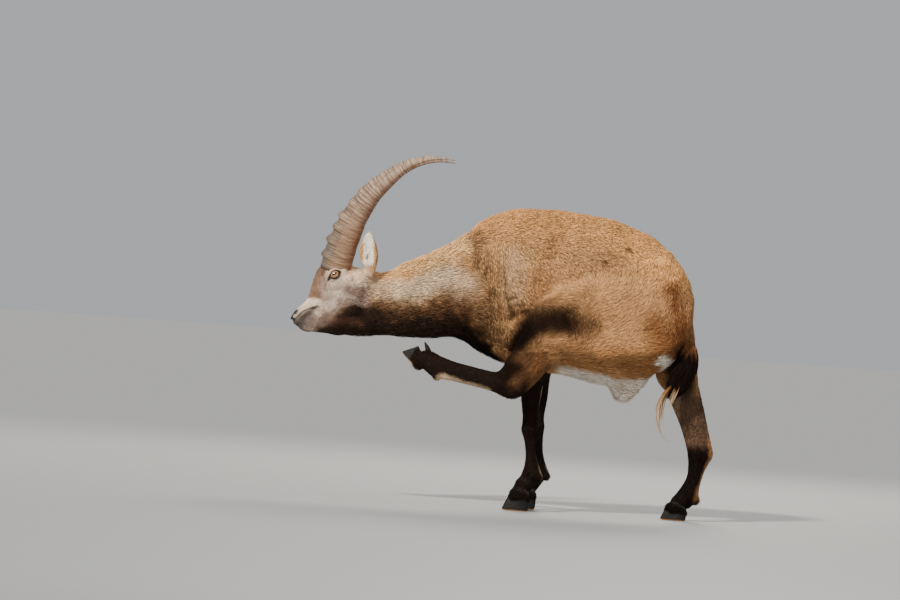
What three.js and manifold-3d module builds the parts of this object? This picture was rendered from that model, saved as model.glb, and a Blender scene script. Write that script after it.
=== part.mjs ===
// A life-size alpine ibex, a young male, as a still museum model: it stands on both forefeet and the
// right hind foot, with its back arched, and scratches its throat with the raised left hind foot.
// Millimetres, +Z up. The head points along -X, the animal's left side along -Y, and the soles lie
// on the floor at Z = 0. Every outline is the outside of the coat.
import * as THREE from "three";
import { mergeVertices } from "three/addons/utils/BufferGeometryUtils.js";
import Module from "manifold-3d";

const wasm = await Module();
wasm.setup();

// Driving dimensions
const JOINT_GAP = 0.3; // clear gap between two pieces that meet
const FORE_SWAY = 28; // how far the chest stands to the right of the head
const HIND_SWAY = 88; // how far the rump swings back to the left, towards the raised foot
const EYE_RADIUS = 17;
const EYE_TILT = 0.52; // the eye's long axis rises backwards, as the mouth does
const HORN_APART = 64; // between the horns' centre lines where they leave the skull
const HORN_SPAN = 290; // between the two horn tips
const EAR_WIDTH = 54;
const HOOF_LENGTH = 82;
const HOOF_HEIGHT = 46;
const TOE_WIDTH = 27;
const TOE_GAP = 4;

const point = (x, y, z) => new THREE.Vector3(x, y, z);
const mix = (a, b, t) => a + (b - a) * t;
const smooth = (low, high, x) => THREE.MathUtils.smoothstep(x, low, high);

// The spine bends sideways towards the raised foot: the midline's offset along Y at each X.
function sway(x) {
  return FORE_SWAY * smooth(-420, 60, x) - HIND_SWAY * smooth(120, 560, x) ** 2;
}

// Flesh
// Each mass is a tapered bar with round ends: two places, a radius in side view at each, and how wide
// it is sideways as a share of that radius. One that is swayed follows the bent midline.
function mass(from, to, radii, widths, swayed = false) {
  return { from, to, radii, widths, swayed, along: to.clone().sub(from) };
}

function massField(m, p, midline) {
  const y = m.swayed ? p.y - midline : p.y;
  const [dx, dy, dz] = [p.x - m.from.x, y - m.from.y, p.z - m.from.z];
  const length2 = m.along.lengthSq();
  const share = (dx * m.along.x + dy * m.along.y + dz * m.along.z) / length2;
  const t = THREE.MathUtils.clamp(share, 0, 1);
  const across = (dy - t * m.along.y) / mix(m.widths[0], m.widths[1], t);
  return Math.hypot(dx - t * m.along.x, across, dz - t * m.along.z) - mix(m.radii[0], m.radii[1], t);
}

function blend(a, b, k) {
  const h = Math.max(k - Math.abs(a - b), 0) / k;
  return Math.min(a, b) - (h * h * k) / 4;
}

// A chain of masses: a path of [x, y, z, radius, width share] places with a bar between each two.
function chain(places, swayed = false) {
  return places.slice(1).map(([x, y, z, r, w], i) => {
    const [x0, y0, z0, r0, w0] = places[i];
    return mass(point(x0, y0, z0), point(x, y, z), [r0, r], [w0, w], swayed);
  });
}
const trunk = (...places) => chain(places.map(([x, z, r, w, y = 0]) => [x, y, z, r, w]), true);

// A region is a group of chains that melt into each other over its own blend distance.
function region(softness, ...chains) {
  return (p) => {
    const midline = sway(p.x);
    let f = Infinity;
    for (const masses of chains) {
      const g = Math.min(...masses.map((m) => massField(m, p, midline)));
      f = f === Infinity ? g : blend(f, g, softness);
    }
    return f;
  };
}

const bothSides = (make) => [make(-1), make(1)];

const torso = region(
  44,
  trunk([-25, 651, 229, 0.56], [40, 646, 236, 0.58], [110, 637, 239, 0.6], [165, 628, 241, 0.61],
    [220, 612, 237, 0.6], [250, 601, 219, 0.56], [268, 604, 198, 0.52]),
  trunk([-128, 545, 88, 0.62], [-50, 530, 100, 0.8], [40, 515, 96, 0.9]),
  ...bothSides((s) => trunk([-45, 795, 42, 0.6, s * 60], [-135, 610, 72, 0.6, s * 80])),
  ...bothSides((s) => trunk([-140, 590, 62, 0.66, s * 74], [25, 480, 58, 0.72, s * 84])),
  ...bothSides((s) => trunk([205, 742, 54, 0.62, s * 76], [335, 700, 74, 0.66, s * 62])),
  trunk([285, 715, 88, 0.8], [343, 652, 92, 0.78]),
);
const neck = region(
  30,
  trunk([-110, 658, 156, 0.54], [-170, 640, 148, 0.55], [-217, 626, 138, 0.56], [-247, 616, 132, 0.58],
    [-307, 597, 122, 0.6], [-346, 587, 113, 0.62], [-399, 572, 98, 0.62], [-437, 568, 92, 0.62],
    [-490, 572, 90, 0.6]),
);
const head = region(
  14,
  trunk([-672, 516, 26, 1], [-655, 529, 27, 0.98], [-634, 548, 30, 0.95], [-610, 584, 42, 0.85],
    [-586, 604, 54, 0.8], [-545, 614, 60, 0.95], [-500, 612, 52, 1]),
  trunk([-652, 500, 28, 0.85], [-570, 524, 56, 0.8], [-500, 547, 76, 0.76]),
  trunk([-610, 618, 34, 1], [-600, 642, 38, 1.1]),
  ...bothSides((s) => trunk([-590, 646, 25, 0.9, s * 38], [-562, 642, 25, 0.9, s * 40])),
  ...bothSides((s) => trunk([-577, 640, 42, 0.6, s * 29], [-577, 658, 42, 0.62, s * 30])),
  ...bothSides((s) => trunk([-506, 630, 24, 1, s * 46], [-490, 656, 16, 1, s * 56])),
);

// The legs. The hind ones are named places along each leg, from the hip down.
const hindLeft = {
  hip: point(330, -64, 592),
  knee: point(48, -150, 556),
  hock: point(-48, -160, 360),
  fetlock: point(-262, -104, 398),
  coronet: point(-312, -90, 426),
};
const hindRight = {
  hip: point(350, 50, 650),
  knee: point(420, 76, 440),
  hock: point(514, 64, 198),
  fetlock: point(486, 47, 70),
  coronet: point(458, 42, 42),
};
const foreLeft = {
  elbow: point(8, -62, 430),
  knee: point(13, -54, 246),
  fetlock: point(29, -50, 108),
  coronet: point(0, -50, 58),
};
const foreRight = {
  elbow: point(36, 106, 430),
  knee: point(34, 98, 250),
  fetlock: point(52, 94, 110),
  coronet: point(23, 94, 58),
};

const thighLeft = region(
  44,
  chain([[300, -66, 620, 104, 0.6], [150, -110, 592, 88, 0.68], [48, -150, 556, 62, 0.82]]),
  chain([[365, -60, 560, 92, 0.6], [180, -108, 504, 80, 0.62], [80, -138, 508, 64, 0.74]]),
);
const thighRight = region(
  40,
  chain([[345, 54, 640, 104, 0.62], [400, 68, 520, 78, 0.66], [418, 78, 440, 52, 0.8]]),
  chain([[400, 44, 604, 66, 0.74], [432, 70, 440, 60, 0.72]]),
);
const shankLeft = region(
  24,
  chain([[48, -150, 556, 60, 0.8], [-30, -158, 405, 50, 0.66], [-46, -161, 356, 32, 0.7]]),
  chain([[54, -150, 490, 54, 0.66], [-14, -160, 388, 40, 0.66]]),
);
const shankRight = region(
  20,
  chain([[420, 78, 440, 49, 0.76], [476, 70, 300, 34, 0.74], [514, 64, 198, 32, 0.74]]),
  chain([[450, 74, 410, 51, 0.66], [524, 66, 240, 22, 0.8], [537, 65, 206, 20, 0.8]]),
);
const shinLeft = region(
  10,
  chain([[-44, -160, 359, 36, 0.72], [-130, -138, 374, 31, 0.76], [-262, -104, 398, 32, 0.76]]),
);
const shinRight = region(
  10,
  chain([[514, 64, 198, 34, 0.72], [504, 55, 128, 25, 0.8], [486, 47, 72, 29, 0.8]]),
);
const pasternOf = (leg, high, low) =>
  region(10, [mass(leg.fetlock, leg.coronet, [high, low], [0.8, 0.95])]);
const pastern = {
  hind_left: pasternOf(hindLeft, 33, 28),
  hind_right: pasternOf(hindRight, 31, 28),
  fore_left: pasternOf(foreLeft, 27, 27),
  fore_right: pasternOf(foreRight, 27, 27),
};
function forearmOf({ elbow, knee }, top) {
  const middle = elbow.clone().lerp(knee, 0.6);
  const upper = mass(elbow, middle, [top, 35], [0.76, 0.74]);
  return region(20, [upper, mass(middle, knee, [35, 25], [0.74, 0.86])]);
}
function foreCannonOf({ knee, fetlock }) {
  const middle = knee.clone().lerp(fetlock, 0.55);
  const upper = mass(knee, middle, [25, 19], [0.86, 0.88]);
  return region(12, [upper, mass(middle, fetlock, [19, 26], [0.88, 0.86])]);
}
const forearmLeft = forearmOf(foreLeft, 54);
const forearmRight = forearmOf(foreRight, 43);
const cannonLeft = foreCannonOf(foreLeft);
const cannonRight = foreCannonOf(foreRight);
const sheath = region(20, trunk([275, 366, 42, 0.78], [312, 392, 30, 0.8]));

// Skins
// A flat cut, with a little more than half the gap on each side of it.
const plane = (at, facing) => ({ at, facing: facing.normalize() });
const flipped = (cutting) => plane(cutting.at, cutting.facing.clone().negate());
const bisecting = (upper, at, lower) =>
  plane(at, lower.clone().sub(at).normalize().sub(upper.clone().sub(at).normalize()));
const beyond = (cutting, p) => p.clone().sub(cutting.at).dot(cutting.facing);

// A region's field joined softly to its neighbours'. It stops a little past each of its flat cuts.
const PAST_CUT = 36;
function joined(own, neighbours, softness, cuts) {
  return (p) => {
    let f = own(p);
    for (const other of neighbours) f = blend(f, other(p), softness);
    for (const cutting of cuts) f = Math.max(f, beyond(cutting, p) - PAST_CUT);
    return f;
  };
}

// Flesh that lies on the torso: it fades out into the torso's surface around its own edge.
const FADE = 32;
const FADE_EDGE = 4;
const FADE_REACH = 26;
function laidOn(base, own, neighbours, softness, cuts) {
  const field = joined(own, neighbours, softness, cuts);
  return (p) => Math.max(blend(field(p), base(p), FADE) + FADE_EDGE, own(p) - FADE_REACH);
}

// The first place along a ray where the field turns positive.
const MARCH_STEP = 5;
const BISECTIONS = 12;
function surfaceAlong(field, from, direction, reach = 420) {
  const p = from.clone();
  const at = (distance) => field(p.copy(direction).multiplyScalar(distance).add(from));
  let inside = 0;
  let outside = MARCH_STEP;
  while (outside < reach && at(outside) < 0) {
    inside = outside;
    outside += MARCH_STEP;
  }
  for (let i = 0; i < BISECTIONS; i++) {
    const middle = (inside + outside) / 2;
    if (at(middle) < 0) inside = middle;
    else outside = middle;
  }
  return from.clone().addScaledVector(direction, (inside + outside) / 2);
}

// A closed mesh from rings of points between two poles.
function closedRings(rings, firstPole, lastPole) {
  const around = rings[0].length;
  const positions = [firstPole, ...rings.flat(), lastPole].flatMap((p) => [p.x, p.y, p.z]);
  const last = rings.length * around + 1;
  const index = [];
  const id = (ring, k) => 1 + ring * around + (k % around);
  for (let k = 0; k < around; k++) {
    index.push(0, id(0, k + 1), id(0, k));
    for (let r = 0; r + 1 < rings.length; r++) {
      index.push(id(r, k), id(r, k + 1), id(r + 1, k + 1), id(r, k), id(r + 1, k + 1), id(r + 1, k));
    }
    index.push(last, id(rings.length - 1, k), id(rings.length - 1, k + 1));
  }
  const geometry = new THREE.BufferGeometry();
  geometry.setAttribute("position", new THREE.Float32BufferAttribute(positions, 3));
  geometry.setIndex(index);
  return geometry;
}

const ring = (around, at) => Array.from({ length: around }, (_, k) => at((2 * Math.PI * k) / around));
const evenly = (count) => Array.from({ length: count }, (_, i) => (i + 0.5) / count);

// The directions across a curve at one place: sideways, and up from it.
function across(tangent, sideways = point(0, 1, 0)) {
  const side = sideways.clone().addScaledVector(tangent, -tangent.dot(sideways)).normalize();
  return { side, up: tangent.clone().cross(side) };
}

const curveThrough = (places) =>
  places.length > 2 ? new THREE.CatmullRomCurve3(places) : new THREE.LineCurve3(...places);

// Grows a tube outwards from a spine to a field's surface, with rounded caps past both ends.
function wrap(spine, field, { rings, around, capRings = 4 }) {
  const curve = curveThrough(spine);
  const stations = [];
  for (let i = capRings; i >= 1; i--) stations.push([0, (-Math.PI / 2) * (i / (capRings + 1))]);
  for (let i = 0; i <= rings; i++) stations.push([i / rings, 0]);
  for (let i = 1; i <= capRings; i++) stations.push([1, (Math.PI / 2) * (i / (capRings + 1))]);
  const made = stations.map(([t, lean]) => {
    const tangent = curve.getTangentAt(t);
    const { side, up } = across(tangent);
    const from = curve.getPointAt(t);
    return ring(around, (angle) => {
      const outward = up.clone().multiplyScalar(Math.cos(angle)).addScaledVector(side, Math.sin(angle));
      outward.multiplyScalar(Math.cos(lean)).addScaledVector(tangent, Math.sin(lean));
      return surfaceAlong(field, from, outward);
    });
  });
  const pole = (t, sign) =>
    surfaceAlong(field, curve.getPointAt(t), curve.getTangentAt(t).multiplyScalar(sign));
  return solid(closedRings(made, pole(0, -1), pole(1, 1)));
}

// A bar along a curve. Its section at each place along is given by half its height and half its
// width there, and by a share that each angle takes of them.
const EVEN = () => 1;
const BAR_DETAIL = { rings: evenly(8), around: 8, shape: EVEN, grow: 0 };
function bar(places, heights, widths, detail = {}) {
  const { rings, around, sideways, shape, grow } = { ...BAR_DETAIL, ...detail };
  const curve = curveThrough(places);
  const sized = (sizes, t) => {
    const at = t * (sizes.length - 1);
    const i = Math.min(Math.floor(at), sizes.length - 2);
    return mix(sizes[i], sizes[i + 1], at - i);
  };
  const made = rings.map((t) => {
    const { side, up } = across(curve.getTangentAt(t), sideways);
    const centre = curve.getPointAt(t);
    return ring(around, (angle) => {
      const r = shape(angle, t);
      return centre
        .clone()
        .addScaledVector(up, Math.cos(angle) * (sized(heights, t) * r + grow))
        .addScaledVector(side, Math.sin(angle) * (sized(widths, t) * r + grow));
    });
  });
  const end = (t, sign) => curve.getPointAt(t).addScaledVector(curve.getTangentAt(t), sign * grow);
  return solid(closedRings(made, end(0, -1), end(1, 1)));
}

// Solids
function solid(geometry) {
  const bare = geometry.clone();
  for (const name of Object.keys(bare.attributes)) if (name !== "position") bare.deleteAttribute(name);
  const merged = mergeVertices(bare, 1e-3);
  const made = new wasm.Manifold(
    new wasm.Mesh({
      numProp: 3,
      vertProperties: new Float32Array(merged.attributes.position.array),
      triVerts: new Uint32Array(merged.index.array),
    }),
  );
  if (made.volume() >= 0) return made;
  const index = merged.index.array;
  for (let i = 0; i < index.length; i += 3) [index[i + 1], index[i + 2]] = [index[i + 2], index[i + 1]];
  return solid(merged);
}

function largest(made) {
  return made.decompose().sort((a, b) => b.volume() - a.volume())[0];
}

const cut = (made, ...others) => largest(others.reduce((left, other) => left.subtract(other), made));
const join = (first, ...others) => largest(others.reduce((sum, other) => sum.add(other), first));

// A block that lies wholly beyond a flat cut, moved back by half the joint gap.
const BLOCK = 1600;
function blockBeyond(cutting) {
  const block = new THREE.BoxGeometry(BLOCK, BLOCK, BLOCK);
  block.translate(0, 0, BLOCK / 2 - JOINT_GAP / 2);
  block.applyQuaternion(new THREE.Quaternion().setFromUnitVectors(point(0, 0, 1), cutting.facing));
  block.translate(cutting.at.x, cutting.at.y, cutting.at.z);
  return solid(block);
}
const trimmed = (made, cuts) => cut(made, ...cuts.map(blockBeyond));

function ball(at, radius) {
  const sphere = new THREE.SphereGeometry(radius, 14, 8);
  sphere.rotateX(Math.PI / 2);
  sphere.translate(at.x, at.y, at.z);
  return solid(sphere);
}

function geometryOf(made) {
  const mesh = made.getMesh();
  const geometry = new THREE.BufferGeometry();
  const positions = new Float32Array(mesh.numVert * 3);
  for (let i = 0; i < mesh.numVert; i++) {
    positions.set(mesh.vertProperties.subarray(i * mesh.numProp, i * mesh.numProp + 3), i * 3);
  }
  geometry.setAttribute("position", new THREE.BufferAttribute(positions, 3));
  geometry.setIndex(new THREE.BufferAttribute(mesh.triVerts, 1));
  geometry.computeVertexNormals();
  return geometry;
}

// Finishes
const finish = (color, roughness) => new THREE.MeshStandardMaterial({ color, roughness, metalness: 0 });
const MATERIALS = {
  coat: finish(0xb08350, 0.85),
  dark_coat: finish(0x3a261b, 0.8),
  pale_coat: finish(0xcbb594, 0.85),
  horn: finish(0x94785a, 0.55),
  hoof: finish(0x2c2a29, 0.45),
  eye: finish(0xb06a25, 0.15),
};

const ibex = new THREE.Group();
function piece(name, made, material) {
  const mesh = new THREE.Mesh(geometryOf(made), MATERIALS[material].clone());
  mesh.name = name;
  ibex.add(mesh);
}

// Torso and neck
const onMidline = (x, z) => point(x, sway(x), z);
const neckRoot = plane(onMidline(-168, 620), point(-1, 0.12, -0.1));
const nape = plane(point(-456, 0, 575), point(-0.984, 0, 0.178));

const TORSO_DETAIL = { rings: 18, around: 30, capRings: 5 };
const torsoSpine = [onMidline(-186, 636), onMidline(60, 630), onMidline(310, 600)];
const torsoField = joined(torso, [neck], 44, [neckRoot]);
const torsoMade = trimmed(wrap(torsoSpine, torsoField, TORSO_DETAIL), [neckRoot]);
const torsoGrown = wrap(torsoSpine, (p) => torsoField(p) - 1.3 * JOINT_GAP, TORSO_DETAIL);
piece("torso", torsoMade, "coat");

const neckField = joined(neck, [torso, head], 30, [flipped(neckRoot), nape]);
const neckSpine = [onMidline(-148, 624), onMidline(-300, 604), onMidline(-472, 575)];
const neckMade = wrap(neckSpine, neckField, { rings: 10, around: 26, capRings: 2 });
piece("neck", trimmed(neckMade, [flipped(neckRoot), nape]), "coat");

// Horns
// Each rises from the forehead in one long curve back, with knobs across its front edge that fade
// out upwards. Its section is broad and flat in front.
const HORN_LINE = [
  [-579, 667], [-576, 680], [-566, 726], [-554, 762], [-538, 806], [-516, 847],
  [-490, 887], [-454, 924], [-406, 965], [-353, 990], [-309, 998], [-278, 997], [-253, 994],
];
const HORN_DEPTHS = [43, 43.5, 41, 38.5, 35, 31.5, 27.5, 22.5, 17.5, 12.5, 8.5, 4.5, 0.8];
const HORN_BROAD = 0.64; // its breadth as a share of its depth
const HORN_FLATNESS = 0.12;
const KNOBS = [26, 68, 108, 142, 187, 227, 274, 310]; // millimetres along the horn
const KNOB_HEIGHTS = [7.5, 8, 8, 8, 6.5, 4.5, 3, 2];
const KNOB_HALF = 11;
const TIP_RINGS = 8;

function hornPath(side) {
  const [firstX, lastX] = [HORN_LINE[0][0], HORN_LINE.at(-1)[0]];
  return HORN_LINE.map(([x, z]) => {
    const t = (x - firstX) / (lastX - firstX);
    return point(x, (side * mix(HORN_APART, HORN_SPAN, t ** 0.8)) / 2, z);
  });
}

function horn(side, grow = 0) {
  const path = hornPath(side);
  const length = curveThrough(path).getLength();
  const rings = [0.004, 0.03];
  for (const knob of KNOBS) rings.push(...[-1, -0.45, 0.3, 1].map((k) => (knob + k * KNOB_HALF) / length));
  const from = rings.at(-1);
  for (let i = 1; i < TIP_RINGS; i++) rings.push(mix(from, 1, i / TIP_RINGS));
  const raised = (angle, t) => {
    const front = smooth(0.1, 0.7, Math.cos(angle));
    let rise = 0;
    KNOBS.forEach((knob, i) => {
      const off = Math.abs(t * length - knob) / KNOB_HALF;
      rise += KNOB_HEIGHTS[i] * (1 - smooth(0.3, 1, off));
    });
    const flatFront = HORN_FLATNESS * Math.cos(angle) * Math.sin(angle) ** 2;
    return 1 + flatFront + (front * rise) / HORN_DEPTHS[0];
  };
  const widths = HORN_DEPTHS.map((d) => d * HORN_BROAD);
  rings.sort((a, b) => a - b);
  return bar(path, HORN_DEPTHS, widths, { rings, around: 10, shape: raised, grow });
}

// Ears
// An upright leaf with a rolled root, hollow towards the side.
const EAR_LINE = [[-482, 48, 640], [-480, 58, 668], [-485, 68, 700], [-488, 76, 735], [-487, 82, 776]];
const EAR_HALF_WIDTHS = [0.5, 0.52, 0.84, 1, 0.9, 0.62, 0.06].map((share) => (share * EAR_WIDTH) / 2);
const EAR_HALF_DEPTHS = EAR_HALF_WIDTHS.map((w, i) => w * [0.9, 0.85, 0.62, 0.52, 0.46, 0.42, 0.5][i]);
const EAR_SKIN = 4.2;
const HOLLOW_FROM = 0.3;
const HOLLOW_OUT = 9;

function earParts(side) {
  const places = EAR_LINE.map(([x, y, z]) => point(x, side * y, z));
  const detail = { rings: evenly(7), around: 10, sideways: point(1, side * 0.15, 0) };
  const leaf = (grow) => bar(places, EAR_HALF_DEPTHS, EAR_HALF_WIDTHS, { ...detail, grow });
  const curve = curveThrough(places);
  const hollowPlaces = [0, 0.2, 0.45, 0.7, 0.9].map((t, i) =>
    curve.getPointAt(mix(HOLLOW_FROM, 1, t)).add(point(-1, side * HOLLOW_OUT * [0.5, 1, 1, 0.8, 0.5][i], 0)),
  );
  const hollow = bar(hollowPlaces, [2, 9, 11, 9, 6, 1], [3, 17, 23, 19, 11, 1], detail);
  return { leaf, hollow };
}

// Head
const headField = joined(head, [neck], 30, [flipped(nape)]);
const MOUTH = [[-700, 500], [-690, 504], [-677, 517], [-663, 530], [-648, 538], [-633, 542]];
const MOUTH_HEIGHTS = [2.6, 2.8, 2.6, 2.4, 2.6, 0.8];
const NOSTRIL = [[-694, 12, 519], [-689, 15, 527], [-680, 18, 532]];
const onSide = (x, z, side) => surfaceAlong(headField, point(x, 0, z), point(0, side, 0));

function mouthGroove(side) {
  const lips = MOUTH.slice(1).map(([x, z]) => onSide(x, z, side));
  lips.unshift(point(MOUTH[0][0], side * -4, MOUTH[0][1]));
  return bar(lips, MOUTH_HEIGHTS, MOUTH_HEIGHTS.map((h) => h + 2), { rings: evenly(10), around: 6 });
}

// The lips are a soft roll above the line of the mouth and another below it.
const LIP_OFFSET = 7.5;
const LIP_HEIGHTS = [2, 6, 7, 6.5, 5, 1];
function lipRolls(side) {
  return [1, -1].map((over) => {
    const roll = MOUTH.slice(1, -1).map(([x, z]) => {
      const lip = onSide(x + over * -0.6 * LIP_OFFSET, z + over * 0.8 * LIP_OFFSET, side);
      return lip.add(point(0, side * -4.4, 0));
    });
    return bar(roll, LIP_HEIGHTS, LIP_HEIGHTS, { rings: evenly(7), around: 8 });
  });
}

function eyeParts(side) {
  const surface = onSide(-578, 643, side);
  const centre = surface.clone().add(point(0, side * (4 - EYE_RADIUS), 0));
  const along = point(Math.cos(EYE_TILT), 0, Math.sin(EYE_TILT));
  const over = point(-Math.sin(EYE_TILT), 0, Math.cos(EYE_TILT));
  const lidPoint = (angle, opening, reach) => {
    const u = Math.cos(angle) * reach;
    const v = Math.sin(angle) * opening;
    const out = Math.sqrt(Math.max((EYE_RADIUS + 1.6) ** 2 - u * u - v * v, 4));
    return centre.clone().addScaledVector(along, u).addScaledVector(over, v).add(point(0, side * out, 0));
  };
  const lid = (from, to, opening, thick) =>
    bar(
      Array.from({ length: 7 }, (_, i) => lidPoint(mix(from, to, i / 6), opening, 19)),
      [1.5, thick, thick * 1.15, thick, 1.5],
      [1.5, thick, thick * 1.15, thick, 1.5],
      { rings: evenly(8), around: 6, sideways: point(0, side, 0) },
    );
  const tear = [lidPoint(Math.PI, 1, 17), onSide(-601, 619, side), onSide(-606, 609, side)];
  return {
    eye: ball(centre, EYE_RADIUS),
    socket: ball(centre, EYE_RADIUS + JOINT_GAP * 1.2),
    lids: [lid(Math.PI, 0, 12.5, 4.6), lid(-Math.PI, 0, 10, 3.4)],
    tear: bar(tear, [2, 2, 0.8], [2, 2.4, 0.8], { rings: evenly(6), around: 6 }),
  };
}

const headSpine = [point(-655, 0, 520), point(-590, 0, 572), point(-515, 0, 586), point(-438, 0, 578)];
let headMade = wrap(headSpine, headField, { rings: 18, around: 28, capRings: 4 });
for (const [side, word] of [[-1, "left"], [1, "right"]]) {
  const { eye, socket, lids, tear } = eyeParts(side);
  const { leaf, hollow } = earParts(side);
  const nostrilLine = NOSTRIL.map(([x, y, z]) => point(x, side * y, z));
  const nostril = bar(nostrilLine, [2, 4.5, 2], [2, 5.5, 2], { rings: evenly(7) });
  headMade = join(headMade, ...lids, ...lipRolls(side));
  headMade = cut(headMade, socket, tear, nostril, mouthGroove(side));
  headMade = cut(headMade, leaf(JOINT_GAP), horn(side, JOINT_GAP));
  piece(`eye_${word}`, eye, "eye");
  piece(`ear_${word}`, cut(leaf(0), hollow), "pale_coat");
  piece(`horn_${word}`, horn(side), "horn");
}
piece("head", trimmed(headMade, [flipped(nape)]), "coat");

// Feet
// Two toes side by side, each a hoof that is pointed in front and flat below.
const SOLE_RISE = [0, 0.06, 0.45, 1.5];
const TOE_TIPS = [1, 1.04, 0.86, 0.3];
const TOE_HEELS = [0.86, 0.94, 1, 0.96];
const inward = { outer: 1, inner: -1 };

// A toe that points along -X. Its other toe is on the side given by `inner` along Y.
function toe(inner) {
  const half = HOOF_LENGTH / 2;
  const level = (i) => SOLE_RISE[i] * HOOF_HEIGHT;
  const rings = SOLE_RISE.map((_, i) =>
    ring(16, (angle) => {
      const ahead = Math.cos(angle);
      const long = half * (ahead > 0 ? TOE_TIPS[i] * 1.12 : TOE_HEELS[i] * 0.78);
      const taper = 1 - 0.5 * smooth(0, 1, ahead);
      const flank = Math.sign(Math.sin(angle)) === inner ? 0.9 : 1.1;
      const rounded = i ? 1 : 0.92;
      const wide = Math.sin(angle) * (TOE_WIDTH / 2) * flank * taper;
      return point(-ahead * long * rounded, wide * rounded, level(i));
    }),
  );
  return closedRings(rings, point(0, 0, level(0)), point(0, 0, level(3)));
}

// Where each toe of a foot is: the middle of its sole, where it points, and which way is up from it.
function standing(x, y, side, toeOut = 0.06) {
  const ahead = point(-Math.cos(toeOut), side * Math.sin(toeOut), 0);
  const apart = (TOE_WIDTH + TOE_GAP) / 2;
  const across = point(0, 0, 1).cross(ahead).multiplyScalar(side);
  return {
    outer: { at: point(x, y, 0).addScaledVector(across, -apart), ahead, up: point(0, 0, 1) },
    inner: { at: point(x, y, 0).addScaledVector(across, apart), ahead, up: point(0, 0, 1) },
  };
}
// The raised foot spreads its toes: the inner one stands on edge and reaches up to the throat.
const RAISED_TOES = {
  outer: { at: point(-338, -100, 404), ahead: point(-0.74, -0.08, 0.67), up: point(0.66, -0.1, 0.74) },
};

function placedToe({ at, ahead, up }, inner) {
  const back = ahead.clone().negate().normalize();
  const side = up.clone().cross(back).normalize();
  const made = toe(inner);
  made.applyMatrix4(new THREE.Matrix4().makeBasis(back, side, back.clone().cross(side)).setPosition(at));
  return solid(made);
}

// Legs
// Each is a chain of skins cut across at the joints, from the one that lies on the torso down to the
// hooves' upper edge.
const towards = (a, b, t) => a.clone().lerp(b, t);
const THIGH_DETAIL = { rings: 9, around: 20, capRings: 4 };
const SHANK_DETAIL = { rings: 8, around: 16, capRings: 2 };
const CANNON_DETAIL = { rings: 8, around: 12, capRings: 1 };
const PASTERN_DETAIL = { rings: 4, around: 12, capRings: 1 };

const LEGS = [
  {
    foot: "hind_left",
    places: [hindLeft.hip, hindLeft.knee, hindLeft.hock, hindLeft.fetlock, hindLeft.coronet],
    parts: [
      ["thigh_left", thighLeft, THIGH_DETAIL],
      ["shank_left", shankLeft, SHANK_DETAIL],
      ["shin_left", shinLeft, CANNON_DETAIL],
      ["pastern_hind_left", pastern.hind_left, PASTERN_DETAIL],
    ],
    toes: RAISED_TOES,
    firstCut: plane(hindLeft.knee.clone(), point(-0.93, -0.12, -0.35)),
    behind: point(0.2, -0.3, -0.93),
    side: -1,
    spurAt: 28,
  },
  {
    foot: "hind_right",
    places: [hindRight.hip, hindRight.knee, hindRight.hock, hindRight.fetlock, hindRight.coronet],
    parts: [
      ["thigh_right", thighRight, THIGH_DETAIL],
      ["shank_right", shankRight, SHANK_DETAIL],
      ["shin_right", shinRight, CANNON_DETAIL],
      ["pastern_hind_right", pastern.hind_right, PASTERN_DETAIL],
    ],
    toes: standing(456, 42, 1),
    behind: point(1, 0, 0),
    side: 1,
    spurAt: 28,
  },
  {
    foot: "fore_left",
    places: [foreLeft.elbow, foreLeft.knee, foreLeft.fetlock, foreLeft.coronet],
    parts: [
      ["forearm_left", forearmLeft, SHANK_DETAIL],
      ["cannon_left", cannonLeft, CANNON_DETAIL],
      ["pastern_fore_left", pastern.fore_left, PASTERN_DETAIL],
    ],
    toes: standing(-6, -50, -1),
    behind: point(1, 0, 0),
    side: -1,
    spurAt: 22,
  },
  {
    foot: "fore_right",
    places: [foreRight.elbow, foreRight.knee, foreRight.fetlock, foreRight.coronet],
    parts: [
      ["forearm_right", forearmRight, SHANK_DETAIL],
      ["cannon_right", cannonRight, CANNON_DETAIL],
      ["pastern_fore_right", pastern.fore_right, PASTERN_DETAIL],
    ],
    toes: standing(17, 94, 1),
    behind: point(1, 0, 0),
    side: 1,
    spurAt: 26,
  },
];

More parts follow.
